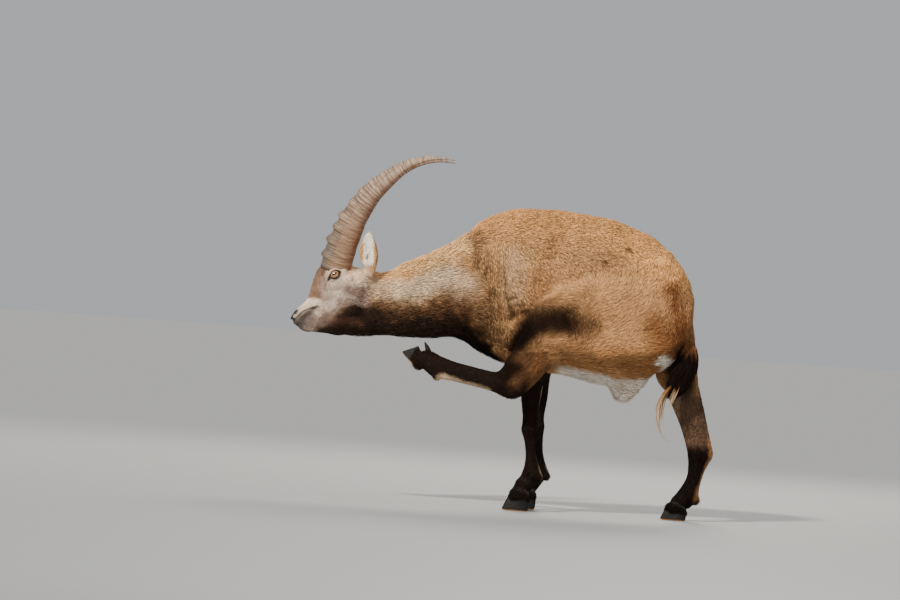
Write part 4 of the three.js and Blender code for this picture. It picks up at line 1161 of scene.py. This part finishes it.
# Each tuft is lit partly by its own faces and partly as the skin below it, so the coat stays soft.
fur, nodes, shader = material("coat_hair", 0.78, 0.06)
streaked, fibre = fibres(nodes, (3.2, 0.5, 1.0), 1.0)
ridges = {"Height": fibre, "Strength": 0.25, "Distance": 0.0006}
own = nodes.add("ShaderNodeBump", ridges).outputs["Normal"]
own = nodes.vector_math("SCALE", own, scale=0.55)
shared = nodes.vector_math("SCALE", nodes.attribute("skin_normal"), scale=0.45)
nodes.feed(shader["Base Color"], streaked)
nodes.feed(shader["Normal"], nodes.vector_math("NORMALIZE", nodes.vector_math("ADD", own, shared)))

# Tufts are sown by area. They differ in tone one by one, in small blots and in broad clouds, and a
# few are dark.
TUFTS_MOST = 33000
DARK_TUFTS = 0.07
random = np.random.default_rng(11)
for name in dict.fromkeys(run[0] for run in runs):
    members = np.array([run[0] == name for run in runs])[face_runs]
    share = np.cumsum(np.where(members, wanted, 0))
    count = min(int(COVER * DENSER.get(name.split("_")[0], 1) * share[-1]), TUFTS_MOST)
    steps = (np.arange(count) + random.random(count)) / count * share[-1]
    chosen = np.searchsorted(share, steps)
    first, second = random.random((2, count))
    over_edge = first + second > 1
    first, second = np.where(over_edge, 1 - first, first), np.where(over_edge, 1 - second, second)
    weights = np.stack([1 - first - second, first, second], axis=1)
    roots = np.einsum("ij,ijk->ik", weights, skin_places[corners[chosen]])
    normals = np.einsum("ij,ijk->ik", weights, skin_normals[corners[chosen]])
    normals /= np.linalg.norm(normals, axis=1)[:, None]
    _, ways, sizes = lie_of(roots)
    shade = np.exp(random.normal(0, 0.17, count)) * (0.84 + 0.32 * mottle(roots, 6))
    shade *= 0.87 + 0.26 * mottle(roots, 38, (1.8, 1, 1))
    shade *= np.where(random.random(count) < DARK_TUFTS, 0.5, 1)
    colours = marked(roots, normals) * shade[:, None]
    unwrapped = unwrap(roots, face_runs[chosen], name)
    made = tufts(f"coat_{name}", roots, normals, ways, *sizes.T, colours, unwrapped, random)
    made.data.materials.append(fur)


# Eyes
# A wet ball with a bulging front: amber iris, a dark rim, and a level slot for a pupil.
IRIS = 13.4
PUPIL_LONG = 6.6
PUPIL_HIGH = 3.3
PUPIL_SQUARENESS = 2.6
CORNEA = 1.5
BALL_RINGS = 40
BALL_AROUND = 72
AMBER_DARK = (0.26, 0.095, 0.024)
AMBER_BRIGHT = (0.54, 0.260, 0.085)
AMBER_RIM = (0.20, 0.065, 0.018)
SCLERA = (0.030, 0.017, 0.010)
PUPIL_TONE = (0.006, 0.007, 0.010)


def rings_object(name, rings, first, last, flip=False):
    """A closed piece from rings of points with a point at each end."""
    rows, around = rings.shape[:2]
    points = np.concatenate([rings.reshape(-1, 3), [first, last]])
    k = np.arange(around)
    after = (k + 1) % around
    quads = []
    for row in range(rows - 1):
        near, far = row * around, (row + 1) * around
        quads.append(np.stack([near + k, near + after, far + after, far + k], 1))
    quads = np.concatenate(quads)
    start = np.stack([np.full(around, rows * around), after, k], 1)
    end = (rows - 1) * around
    finish = np.stack([np.full(around, rows * around + 1), end + k, end + after], 1)
    faces = [quads, np.concatenate([start, finish])]
    return mesh_object(name, points, [f[:, ::-1] for f in faces] if flip else faces)


ball, nodes, shader = material("eye_ball", 0.12, 0.6)
spot = nodes.attribute("iris")
parts = nodes.add("ShaderNodeSeparateXYZ", {"Vector": spot}).outputs
flat = nodes.vector_math("MULTIPLY", spot, (1, 1, 0))
radius = nodes.vector_math("LENGTH", flat)
turned = nodes.vector_math("SCALE", nodes.vector_math("NORMALIZE", flat), scale=5.0)
spokes = nodes.vector_math("ADD", turned, nodes.vector_math("SCALE", flat, scale=0.09))
threads = nodes.add("ShaderNodeTexNoise", {"Vector": spokes, "Scale": 2.2, "Detail": 3.0}).outputs["Fac"]
amber = nodes.mix(nodes.map(threads, 0.35, 0.65), AMBER_DARK, AMBER_BRIGHT)
amber = nodes.mix(nodes.map(radius, 9.0, 13.0), amber, AMBER_RIM)
slot_ways = []
for part, half in ((parts["X"], PUPIL_LONG), (parts["Y"], PUPIL_HIGH)):
    off_middle = nodes.math("ABSOLUTE", nodes.math("DIVIDE", part, half))
    slot_ways.append(nodes.math("POWER", off_middle, PUPIL_SQUARENESS))
slot = nodes.math("ADD", *slot_ways)
ball_tone = nodes.mix(nodes.map(radius, IRIS - 0.5, IRIS + 0.5), amber, SCLERA)
nodes.feed(shader["Base Color"], nodes.mix(nodes.map(slot, 1.35, 0.85), ball_tone, PUPIL_TONE))
shader["Coat Weight"].default_value = 1.0
shader["Coat Roughness"].default_value = 0.03

for side, word in ((-1, "left"), (1, "right")):
    mirrored_way = np.array([1, side, 1])
    centre, gaze, u_way, v_way = (np.array(v) * mirrored_way for v in (EYE, out, along, over))
    lean = np.linspace(0.02, math.pi - 0.05, BALL_RINGS)
    turn = np.arange(BALL_AROUND) * 2 * math.pi / BALL_AROUND
    reach = EYE_RADIUS + CORNEA * (1 - smoothstep(0.45, 0.85, lean))
    rim_u = np.sin(lean)[:, None] * np.cos(turn)
    rim_v = np.sin(lean)[:, None] * np.sin(turn)
    deep = np.cos(lean)[:, None] * np.ones(BALL_AROUND)
    around = rim_u[..., None] * u_way + rim_v[..., None] * v_way + deep[..., None] * gaze
    rings = centre + reach[:, None, None] * around
    ends = centre + reach[0] * gaze, centre - EYE_RADIUS * gaze
    eye = rings_object(f"eye_ball_{word}", rings, *ends, flip=side > 0)
    iris = np.stack([rim_u * EYE_RADIUS, rim_v * EYE_RADIUS, deep], axis=-1).reshape(-1, 3)
    store(eye.data, "iris", np.concatenate([iris, [[0, 0, 1], [0, 0, -1]]]))
    eye.data.materials.append(ball)
    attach(eye, "root")
    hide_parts(f"eye_{word}")


# Horns
# Two long sabres with knobs across the front edge, a fine growth ring every few millimetres and
# wrinkles between them. They are brown, darker in front low down, and grey towards the tip. Their
# grooves and the hollows between the knobs are painted darker, as painted shade.
HORN_LINE = [
    (-579, 667), (-576, 680), (-566, 726), (-554, 762), (-538, 806), (-516, 847),
    (-490, 887), (-454, 924), (-406, 965), (-353, 990), (-309, 998), (-278, 997), (-253, 994),
]
HORN_DEPTHS = [43, 43.5, 41, 38.5, 35, 31.5, 27.5, 22.5, 17.5, 12.5, 8.5, 4.5, 0.8]
HORN_BROAD = 0.64
HORN_FLATNESS = 0.12
HORN_APART = 64
HORN_SPAN = 290
HORN_RINGS = 420
HORN_AROUND = 56
HORN_ROOT_DEPTH = 12.0
KNOBS = [26, 68, 108, 142, 187, 227, 274, 310]
KNOB_HEIGHTS = [7.5, 8, 8, 8, 6.5, 4.5, 3, 2]
KNOB_HALF = 11
KNOB_SLANT = 7
GROOVES = 110
GROOVE_GAPS = (3.6, 8.0)
GROOVE_HALF = 1.3
GROOVE_SLANT = 5
GROOVE_DEPTH = 1.25
LOW_HORN = (0.430, 0.265, 0.155)
MIDDLE_HORN = (0.640, 0.470, 0.335)
UPPER_HORN = (0.340, 0.275, 0.235)
HORN_BANDS = (0.190, 0.088, 0.040)
HORN_STREAKS = (0.095, 0.050, 0.028)
HORN_GROOVE_SHADE = (0.070, 0.040, 0.026)
HORN_REAR = (0.150, 0.052, 0.022)
HORN_FRONT = (0.095, 0.086, 0.066)


class Line:
    """A smooth line through places, walked by its share of the length."""

    def __init__(self, places):
        p = np.array(places, float)
        p = np.concatenate([[2 * p[0] - p[1]], p, [2 * p[-1] - p[-2]]])
        t = np.linspace(0, 1, 40, endpoint=False)[:, None]
        dense = []
        for p0, p1, p2, p3 in zip(p, p[1:], p[2:], p[3:]):
            pairs = ((p0, p1), (p1, p2), (p2, p3))
            d0, d1, d2 = (max(np.linalg.norm(b - a), 1e-6) ** 0.5 for a, b in pairs)
            m1 = ((p1 - p0) / d0 - (p2 - p0) / (d0 + d1) + (p2 - p1) / d1) * d1
            m2 = ((p2 - p1) / d1 - (p3 - p1) / (d1 + d2) + (p3 - p2) / d2) * d1
            square = 3 * (p2 - p1) - 2 * m1 - m2
            cube = 2 * (p1 - p2) + m1 + m2
            dense.append(p1 + m1 * t + square * t**2 + cube * t**3)
        self.points = np.concatenate([*dense, [p[-2]]])
        steps = np.linalg.norm(np.diff(self.points, axis=0), axis=1)
        self.walked = np.concatenate([[0], np.cumsum(steps)])
        self.length = self.walked[-1]

    def at(self, t):
        """The place after a share of the length."""
        walk = np.asarray(t) * self.length
        return np.stack([np.interp(walk, self.walked, axis) for axis in self.points.T], axis=-1)

    def way(self, t):
        """The direction there."""
        t = np.asarray(t)
        ahead = self.at(np.clip(t + 0.004, 0, 1)) - self.at(np.clip(t - 0.004, 0, 1))
        return ahead / np.linalg.norm(ahead, axis=-1, keepdims=True)


# Noise over the rings' place and not over space makes bands and streaks that run round the horn.
horn_skin, nodes, shader = material("horn_sheath", 0.5, 0.45)
along_horn = nodes.attribute("horn_at", "Fac")
front = nodes.attribute("horn_front", "Fac")
groove_shade = nodes.attribute("horn_groove_shade", "Fac")
place = nodes.add("ShaderNodeTexCoord").outputs["Object"]
unevenness = nodes.add("ShaderNodeTexNoise", {"Vector": place, "Scale": 26.0, "Detail": 5.0}).outputs["Fac"]
walk = nodes.math("ADD", along_horn, nodes.math("MULTIPLY", unevenness, 5.0))
ring = nodes.add("ShaderNodeCombineXYZ", {"X": walk, "Y": nodes.math("MULTIPLY", front, 1.5)}).outputs[0]
wide = nodes.add("ShaderNodeTexNoise", {"Vector": ring, "Scale": 0.11, "Detail": 3.0}).outputs["Fac"]
thin = nodes.add("ShaderNodeTexNoise", {"Vector": ring, "Scale": 0.9, "Detail": 4.0}).outputs["Fac"]
tone = nodes.mix(nodes.map(along_horn, 60.0, 330.0), LOW_HORN, MIDDLE_HORN)
tone = nodes.mix(nodes.map(along_horn, 400.0, 560.0), tone, UPPER_HORN)
tone = nodes.mix(nodes.map(wide, 0.38, 0.62, 0.0, 0.7), tone, HORN_BANDS)
calmer_above = nodes.map(along_horn, 220.0, 420.0, 0.8, 0.3)
streaks = nodes.math("MULTIPLY", nodes.map(thin, 0.47, 0.62), calmer_above)
tone = nodes.mix(streaks, tone, HORN_STREAKS)
# Painted shade in the grooves and in the hollows between the knobs.
tone = nodes.mix(nodes.map(groove_shade, 0.15, 0.8, 0.0, 0.75), tone, HORN_GROOVE_SHADE)
tone = nodes.mix(nodes.map(front, -0.3, -0.9, 0.0, 0.6), tone, HORN_REAR)
low_down = nodes.map(along_horn, 260.0, 20.0, 0.0, 0.8)
low_front = nodes.math("MULTIPLY", nodes.map(front, 0.1, 0.9), low_down)
nodes.feed(shader["Base Color"], nodes.mix(low_front, tone, HORN_FRONT))
nodes.feed(shader["Roughness"], nodes.map(wide, 0.3, 0.7, 0.42, 0.62))
grooves = nodes.math("ADD", nodes.math("MULTIPLY", thin, 0.8), nodes.math("MULTIPLY", wide, 0.5))
bump = nodes.add("ShaderNodeBump", {"Height": grooves, "Strength": 1.0, "Distance": 0.0016})
nodes.feed(shader["Normal"], bump.outputs["Normal"])

random = np.random.default_rng(5)
groove_at = np.cumsum(random.uniform(*GROOVE_GAPS, GROOVES))
groove_deep = random.uniform(0.15, 1.0, GROOVES) ** 1.5
share = [(x - HORN_LINE[0][0]) / (HORN_LINE[-1][0] - HORN_LINE[0][0]) for x, _ in HORN_LINE]
spread = [(HORN_APART + (HORN_SPAN - HORN_APART) * s**0.8) / 2 for s in share]
for side, word in ((-1, "left"), (1, "right")):
    middle = Line([(x, side * out_by, z) for (x, z), out_by in zip(HORN_LINE, spread)])
    t = np.linspace(0.002, 0.997, HORN_RINGS)
    walked = t * middle.length
    turn = np.arange(HORN_AROUND) * 2 * math.pi / HORN_AROUND
    tangent = middle.way(t)
    sideways = np.array([0, 1, 0]) - tangent * tangent[:, 1:2]
    sideways /= np.linalg.norm(sideways, axis=1, keepdims=True)
    forward = np.cross(tangent, sideways)
    deep = np.interp(t * (len(HORN_DEPTHS) - 1), range(len(HORN_DEPTHS)), HORN_DEPTHS)
    facing_front = np.cos(turn)
    knob = np.zeros((HORN_RINGS, HORN_AROUND))
    for at, tall in zip(KNOBS, KNOB_HEIGHTS):
        bent = walked[:, None] - at + KNOB_SLANT * (1 - facing_front[None, :])
        off = np.where(bent < 0, -bent / (KNOB_HALF * 0.6), bent / (KNOB_HALF * 1.5))
        bulge = np.clip(1 - off**2, 0, 1)
        knob += tall * bulge * (0.97 * smoothstep(0.05, 0.75, facing_front) + 0.10)
    groove = np.zeros((HORN_RINGS, HORN_AROUND))
    for at, cut in zip(groove_at, groove_deep):
        bent = walked[:, None] - at + GROOVE_SLANT * (1 - facing_front[None, :])
        bent = bent + 1.5 * np.sin(3 * turn + at)
        groove += cut * np.exp(-((bent / GROOVE_HALF) ** 2))
    fade = smoothstep(middle.length, middle.length * 0.7, walked)[:, None]
    flat_front = HORN_FLATNESS * np.cos(turn) * np.sin(turn) ** 2
    grown = deep[:, None] * (1 + flat_front) + knob * deep[:, None] / HORN_DEPTHS[0]
    grown = grown - groove * GROOVE_DEPTH * fade
    ahead = (grown * np.cos(turn))[..., None] * forward[:, None]
    beside = (grown * HORN_BROAD * np.sin(turn))[..., None] * sideways[:, None]
    rings = middle.at(t)[:, None] + ahead + beside
    root = rings[:1] - tangent[:1, None] * HORN_ROOT_DEPTH
    rings = np.concatenate([root, rings])
    root_end = middle.at(0.0) - tangent[0] * HORN_ROOT_DEPTH
    horn = rings_object(f"horn_sheath_{word}", rings, root_end, middle.at(1.0))
    walked = np.append(-HORN_ROOT_DEPTH, walked)
    # How much painted shade each place gets: deep in a groove, or low between knobs on the front.
    groove_shade = np.clip(groove * 0.9 + 0.35 * (1 - knob / 8) * (facing_front > 0.3), 0, 1)
    groove_shade = np.concatenate([groove_shade[:1], groove_shade]).ravel()
    store(horn.data, "horn_at", np.append(np.repeat(walked, HORN_AROUND), [0, middle.length]))
    store(horn.data, "horn_front", np.append(np.tile(facing_front, HORN_RINGS + 1), [0, 0]))
    store(horn.data, "horn_groove_shade", np.append(groove_shade, [0, 0]))
    horn.data.materials.append(horn_skin)
    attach(horn, "root")
    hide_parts(f"horn_{word}")


# Hooves and dewclaws
# Black horn with growth rings that follow the sole, whose front rim is worn to a bright tan.
HOOF_STEP = 1.5
HOOF_THRIFT = 0.02
HOOF_CLOSENESS = 0.2
HOOF_BLACK = (0.0050, 0.0045, 0.0045)
HOOF_LINES = (0.0150, 0.0135, 0.0125)
HOOF_DUST = (0.034, 0.029, 0.026)
WORN_RIM = (0.340, 0.150, 0.035)
CLAW_ROOT = 7.0
CLAW_REACH = 10.0
CLAW_RADII = (8.0, 3.6)
ABOVE_RIM = 30.0
SOLES = {
    # a place on the sole of a raised hoof, and the way up from it
    "hind_left_outer": ((-338, -100, 404), (0.66, -0.1, 0.74)),
    "hind_left_inner": ((-309, -58, 474), (0.16, -0.3, -0.94)),
}

claw, nodes, shader = material("hoof_horn", 0.55, 0.18)
high = nodes.attribute("sole_height", "Fac")
place = nodes.add("ShaderNodeTexCoord").outputs["Object"]
cloud = nodes.add("ShaderNodeTexNoise", {"Vector": place, "Scale": 34.0, "Detail": 4.0}).outputs["Fac"]
walk = nodes.math("ADD", high, nodes.math("MULTIPLY", cloud, 3.0))
lines = nodes.add("ShaderNodeCombineXYZ", {"X": walk}).outputs[0]
growth = nodes.add("ShaderNodeTexNoise", {"Vector": lines, "Scale": 0.55, "Detail": 3.0}).outputs["Fac"]
tone = nodes.mix(nodes.map(growth, 0.35, 0.7), HOOF_BLACK, HOOF_LINES)
tone = nodes.mix(nodes.map(cloud, 0.55, 0.75, 0.0, 0.45), tone, HOOF_DUST)
nodes.feed(shader["Base Color"], nodes.mix(nodes.map(walk, 5.4, 3.4), tone, WORN_RIM))
nodes.feed(shader["Roughness"], nodes.map(cloud, 0.3, 0.7, 0.5, 0.72))
bump = nodes.add("ShaderNodeBump", {"Height": growth, "Strength": 0.45, "Distance": 0.001})
nodes.feed(shader["Normal"], bump.outputs["Normal"])

for kind, softness in (("hoof", 1.5), ("dewclaw", 1.2)):
    for leg, (pastern, to_toes) in LEG_ENDS.items():
        for toe in TOES:
            name = f"{kind}_{leg}_{toe}"
            solid, low, high = claw_field(name, HOOF_STEP, HOOF_THRIFT)
            if kind == "dewclaw":
                middle, inwards = into_pastern(low, high, pastern)
                root = middle + inwards * CLAW_ROOT
                tip = middle - inwards + np.array(to_toes) * CLAW_REACH
                solid.values = bar(solid.grid(), root, tip, CLAW_RADII)
            solid.soften(softness)
            solid.values += HOOF_CLOSENESS
            piece = field_object(f"{name}_horn", solid)
            places = coordinates(piece.data)
            if leg != "hind_left":
                places[:, 2] = np.maximum(places[:, 2], 0)
                piece.data.vertices.foreach_set("co", metres(places).astype(np.float32).ravel())
            at, up = SOLES.get(f"{leg}_{toe}", ((0, 0, 0), (0, 0, 1)))
            up = np.array(up) / np.linalg.norm(up)
            height = (places - np.array(at)) @ up if kind == "hoof" else np.full(len(places), ABOVE_RIM)
            store(piece.data, "sole_height", height)
            piece.data.materials.append(claw)
            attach(piece, "root")
            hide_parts(name)


# Long hair
# The tail's brush and wisps, the lashes and the whiskers are single tapered strands that grow
# along guide lines.
def strands_tree():
    """A node tree that turns guide lines into tapered closed strands with one finish."""
    tree = bpy.data.node_groups.new("strands", "GeometryNodeTree")
    for name, kind, way in (
        ("Guides", "NodeSocketGeometry", "INPUT"),
        ("Half Width", "NodeSocketFloat", "INPUT"),
        ("Sides", "NodeSocketInt", "INPUT"),
        ("Finish", "NodeSocketMaterial", "INPUT"),
        ("Strands", "NodeSocketGeometry", "OUTPUT"),
    ):
        tree.interface.new_socket(name, in_out=way, socket_type=kind)
    nodes = Nodes(tree)
    given = nodes.add("NodeGroupInput").outputs
    line = nodes.add("GeometryNodeMeshToCurve", {"Mesh": given["Guides"]}).outputs["Curve"]
    walked = nodes.add("GeometryNodeSplineParameter").outputs["Factor"]
    taper = nodes.math("SUBTRACT", 1.02, nodes.math("POWER", walked, 2.0))
    section = {"Resolution": given["Sides"], "Radius": given["Half Width"]}
    section = nodes.add("GeometryNodeCurvePrimitiveCircle", section).outputs["Curve"]
    swept = {"Curve": line, "Profile Curve": section, "Scale": taper, "Fill Caps": True}
    strand = nodes.add("GeometryNodeCurveToMesh", swept).outputs["Mesh"]
    strand = nodes.add("GeometryNodeSetShadeSmooth", {"Geometry": strand}).outputs["Geometry"]
    strand = nodes.add("GeometryNodeRealizeInstances", {"Geometry": strand}).outputs["Geometry"]
    finish = {"Geometry": strand, "Material": given["Finish"]}
    strand = nodes.add("GeometryNodeSetMaterial", finish).outputs["Geometry"]
    nodes.feed(nodes.add("NodeGroupOutput").inputs["Strands"], strand)
    return tree


STRANDS = strands_tree()
hair, nodes, shader = material("long_hair", 0.68, 0.05)
nodes.feed(shader["Base Color"], fibres(nodes, (3.0, 1.2, 1.0), 1.25)[0])


def strands(name, guides, half_width, colours, sides=3):
    """Strands along guides, which are rows of points from root to tip, with a colour at each point."""
    guides = np.array(guides)
    count, steps = guides.shape[:2]
    data = bpy.data.meshes.new(name)
    data.vertices.add(count * steps)
    data.vertices.foreach_set("co", metres(guides.reshape(-1, 3)).astype(np.float32).ravel())
    links = (np.arange(count)[:, None] * steps + np.arange(steps - 1)).ravel()
    data.edges.add(len(links))
    data.edges.foreach_set("vertices", np.stack([links, links + 1], 1).astype(np.int32).ravel())
    store(data, "coat_colour", np.array(colours).reshape(-1, 3))
    walked = np.tile(np.linspace(0, 1, steps), count)
    own = np.repeat(np.arange(count), steps)
    store(data, "strand", np.stack([own * 0.37, walked, own], axis=1))
    piece = bpy.data.objects.new(name, data)
    bpy.context.scene.collection.objects.link(piece)
    modifier = piece.modifiers.new("strands", "NODES")
    modifier.node_group = STRANDS
    sockets = STRANDS.interface.items_tree
    given = {item.name: item.identifier for item in sockets if item.in_out == "INPUT"}
    modifier[given["Half Width"]] = half_width / 1000
    modifier[given["Sides"]] = sides
    modifier[given["Finish"]] = hair
    bpy.context.view_layer.update()
    made = bpy.data.meshes.new_from_object(piece.evaluated_get(bpy.context.evaluated_depsgraph_get()))
    piece.modifiers.remove(modifier)
    piece.data = made
    made.name = name
    of_vertex = np.empty(len(made.vertices) * 3, np.float32)
    made.attributes["strand"].data.foreach_get("vector", of_vertex)
    of_vertex = of_vertex.reshape(-1, 3)
    across = math.ceil(math.sqrt(count))
    index = of_vertex[:, 2].round().astype(int)
    cells = np.stack([index % across, index // across], axis=1) / across * (1 - 2 * MARGIN) + MARGIN
    uv = cells + np.stack([coordinates(made)[:, 0] % 1, of_vertex[:, 1]], axis=1) * PATCH
    loops = np.empty(len(made.loops), np.int32)
    made.loops.foreach_get("vertex_index", loops)
    while made.uv_layers:
        made.uv_layers.remove(made.uv_layers[0])
    made.uv_layers.new(name="OFBake").data.foreach_set("uv", uv[loops].astype(np.float32).ravel())
    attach(piece, "root")
    return piece


# The tail hangs a little to the left of the right leg: a short root, rusty above, in a dark brush
# whose longest hairs run on in pale wisps.
TAIL_LINE = [(432, 518), (458, 496), (455, 450), (436, 405), (415, 366)]
TAIL_THICKNESS = ([0, 0.2, 0.45, 0.7, 0.88, 1], [12, 22, 31, 30, 19, 4])
TAIL_FLATNESS = 0.5
TAIL_TOP = (0.24, 0.100, 0.038)
TAIL_CORE = 0.8
TAIL_AROUND = 20
BRUSH_STRANDS = 1100
TAIL_STEPS = 9
WISPS = [
    # places along the wisp: X, how far it stands to the right of the tail, Z; and its strands
    ([(430, -6, 400), (404, -10, 378), (384, -12, 340), (382, -12, 292), (396, -10, 246),
      (421, -8, 224)], 26),
    ([(432, 4, 410), (412, 2, 384), (396, 0, 350), (391, 0, 308), (398, 2, 268)], 13),
    ([(436, -8, 396), (424, -12, 366), (412, -13, 338), (398, -14, 322)], 16),
]
TAIL_SIDE = float(midline(np.array(448.0)))
random = np.random.default_rng(23)
tail_line = Line([(x, TAIL_SIDE, z) for x, z in TAIL_LINE])


def tail_thickness(t):
    """Half the tail's thickness after a share of its length."""
    return np.interp(t, *TAIL_THICKNESS)


t = np.linspace(0.01, 0.98, 26)
turn = np.arange(TAIL_AROUND) * 2 * math.pi / TAIL_AROUND
way = tail_line.way(t)
sideways = np.array([0, 1, 0]) - way * way[:, 1:2]
sideways /= np.linalg.norm(sideways, axis=1, keepdims=True)
upward = np.cross(way, sideways)
around = np.cos(turn)[None, :, None] * upward[:, None]
around = around + TAIL_FLATNESS * np.sin(turn)[None, :, None] * sideways[:, None]
rings = tail_line.at(t)[:, None] + TAIL_CORE * tail_thickness(t)[:, None, None] * around
core = rings_object("tail_core", rings, tail_line.at(0.0), tail_line.at(1.0))
core_colour = np.repeat(np.where(t[:, None] < 0.1, RUST, DARK), TAIL_AROUND, axis=0)
store(core.data, "coat_colour", np.concatenate([core_colour, [RUST, DARK]]))
store(core.data, "bare", np.zeros(len(core.data.vertices)))
core.data.materials.append(hide)
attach(core, "root")

guides, colours = [], []
for i in range(BRUSH_STRANDS):
    start = random.uniform(0, 0.86)
    angle = random.uniform(0, 2 * math.pi)
    reach = min(random.uniform(0.22, 0.5), 1.1 - start)
    flare = random.uniform(0.2, 1.0)
    points, tones = [], []
    for k in range(TAIL_STEPS):
        s = k / (TAIL_STEPS - 1)
        at = start + reach * s
        beyond = max(at - 1, 0)
        at = min(at, 0.995)
        way = tail_line.way(at)
        sideways = np.array([0, 1, 0]) - way * way[1]
        sideways /= np.linalg.norm(sideways)
        outward_way = math.cos(angle) * np.cross(way, sideways)
        outward_way = outward_way + TAIL_FLATNESS * math.sin(angle) * sideways
        thick = TAIL_CORE * (tail_thickness(start) * (1 - s) + tail_thickness(at) * s)
        off = thick + 10 * flare * math.sin(math.pi * min(s * 0.9, 1)) + 0.4
        points.append(tail_line.at(at) + outward_way * off + way * beyond * tail_line.length)
        rusty = 1 - smoothstep(0.02, 0.24, start + 0.4 * reach * s + random.normal(0, 0.01))
        tones.append(np.array(DARK) * (0.7 + 0.6 * s) * (1 - rusty) + np.array(TAIL_TOP) * rusty)
    guides.append(points)
    colours.append(np.array(tones) * math.exp(random.normal(0, 0.25)))
for places, count in WISPS:
    line = Line([(x, TAIL_SIDE + out_by, z) for x, out_by, z in places])
    for i in range(count):
        drift = random.normal(0, 1, 3)
        s = np.linspace(0, 1, TAIL_STEPS)
        spread = 1.6 + 4.4 * s * (1 - 0.75 * s)
        reach = random.uniform(0.72, 1.0)
        guides.append(line.at(s * reach) + drift * spread[:, None])
        tone = np.array(DARK) + (np.array(FOXY) - np.array(DARK)) * smoothstep(0.04, 0.3, s)[:, None]
        tone = tone + (np.array(STRAW) * 0.75 - tone) * smoothstep(0.22, 0.6, s)[:, None]
        colours.append(tone * math.exp(random.normal(0, 0.2)))
brush = strands("tail_brush", guides, 1.3, colours)
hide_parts("tail")

# Lashes stand out along the upper lid. A few stiff whiskers stand on the lips and the chin.
LASHES = 34
WHISKERS_EACH = 2
WHISKERS = [
    # X, Z, how far they point down
    (-688, 512, 0.5), (-680, 522, 0.4), (-672, 500, 0.9), (-664, 492, 1.0), (-660, 534, 0.3),
    (-680, 498, 0.9), (-652, 488, 1.0), (-668, 528, 0.4), (-684, 506, 0.7), (-656, 500, 0.8),
]
guides, colours = [], []
for side in (-1, 1):
    mirrored_way = np.array([1, side, 1])
    for i in range(LASHES):
        u = np.interp(i, [0, LASHES - 1], [-13.5, 15.0]) + random.normal(0, 0.3)
        rise = OPENING_UPPER * (1 - (u / OPENING_HALF) ** 2) + 0.6
        deep = math.sqrt(max(EYE_RADIUS**2 - u * u - rise * rise, 30)) + 1.2
        root = EYE + along * u + over * rise + out * deep
        way = out * 0.9 + over * 0.25 + along * (u / 26) + random.normal(0, 0.08, 3)
        way /= np.linalg.norm(way)
        s = np.linspace(0, 1, 5)[:, None]
        reach = random.uniform(6.0, 9.5)
        guides.append((root + way * reach * s - over * 2.2 * s**2) * mirrored_way)
        colours.append(np.tile(np.array(BARE) * 1.2, (5, 1)))
    for x, z, down in WHISKERS:
        for _ in range(WHISKERS_EACH):
            root = np.array(on_side(x + random.normal(0, 2), z + random.normal(0, 2), 1.0), float)
            way = np.array([random.uniform(-0.5, 0.5), 0.8, -0.6 * down]) + random.normal(0, 0.12, 3)
            way /= np.linalg.norm(way)
            s = np.linspace(0, 1, 5)[:, None]
            reach = random.uniform(9, 19)
            guides.append((root + way * reach * s + np.array([0, 0, -3.0]) * s**2) * mirrored_way)
            colours.append(np.tile(np.array(DARK) * 2, (5, 1)))
lashes = strands("lashes_and_whiskers", guides, 0.32, colours)

# The box round every shown piece but the floor.
low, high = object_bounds()
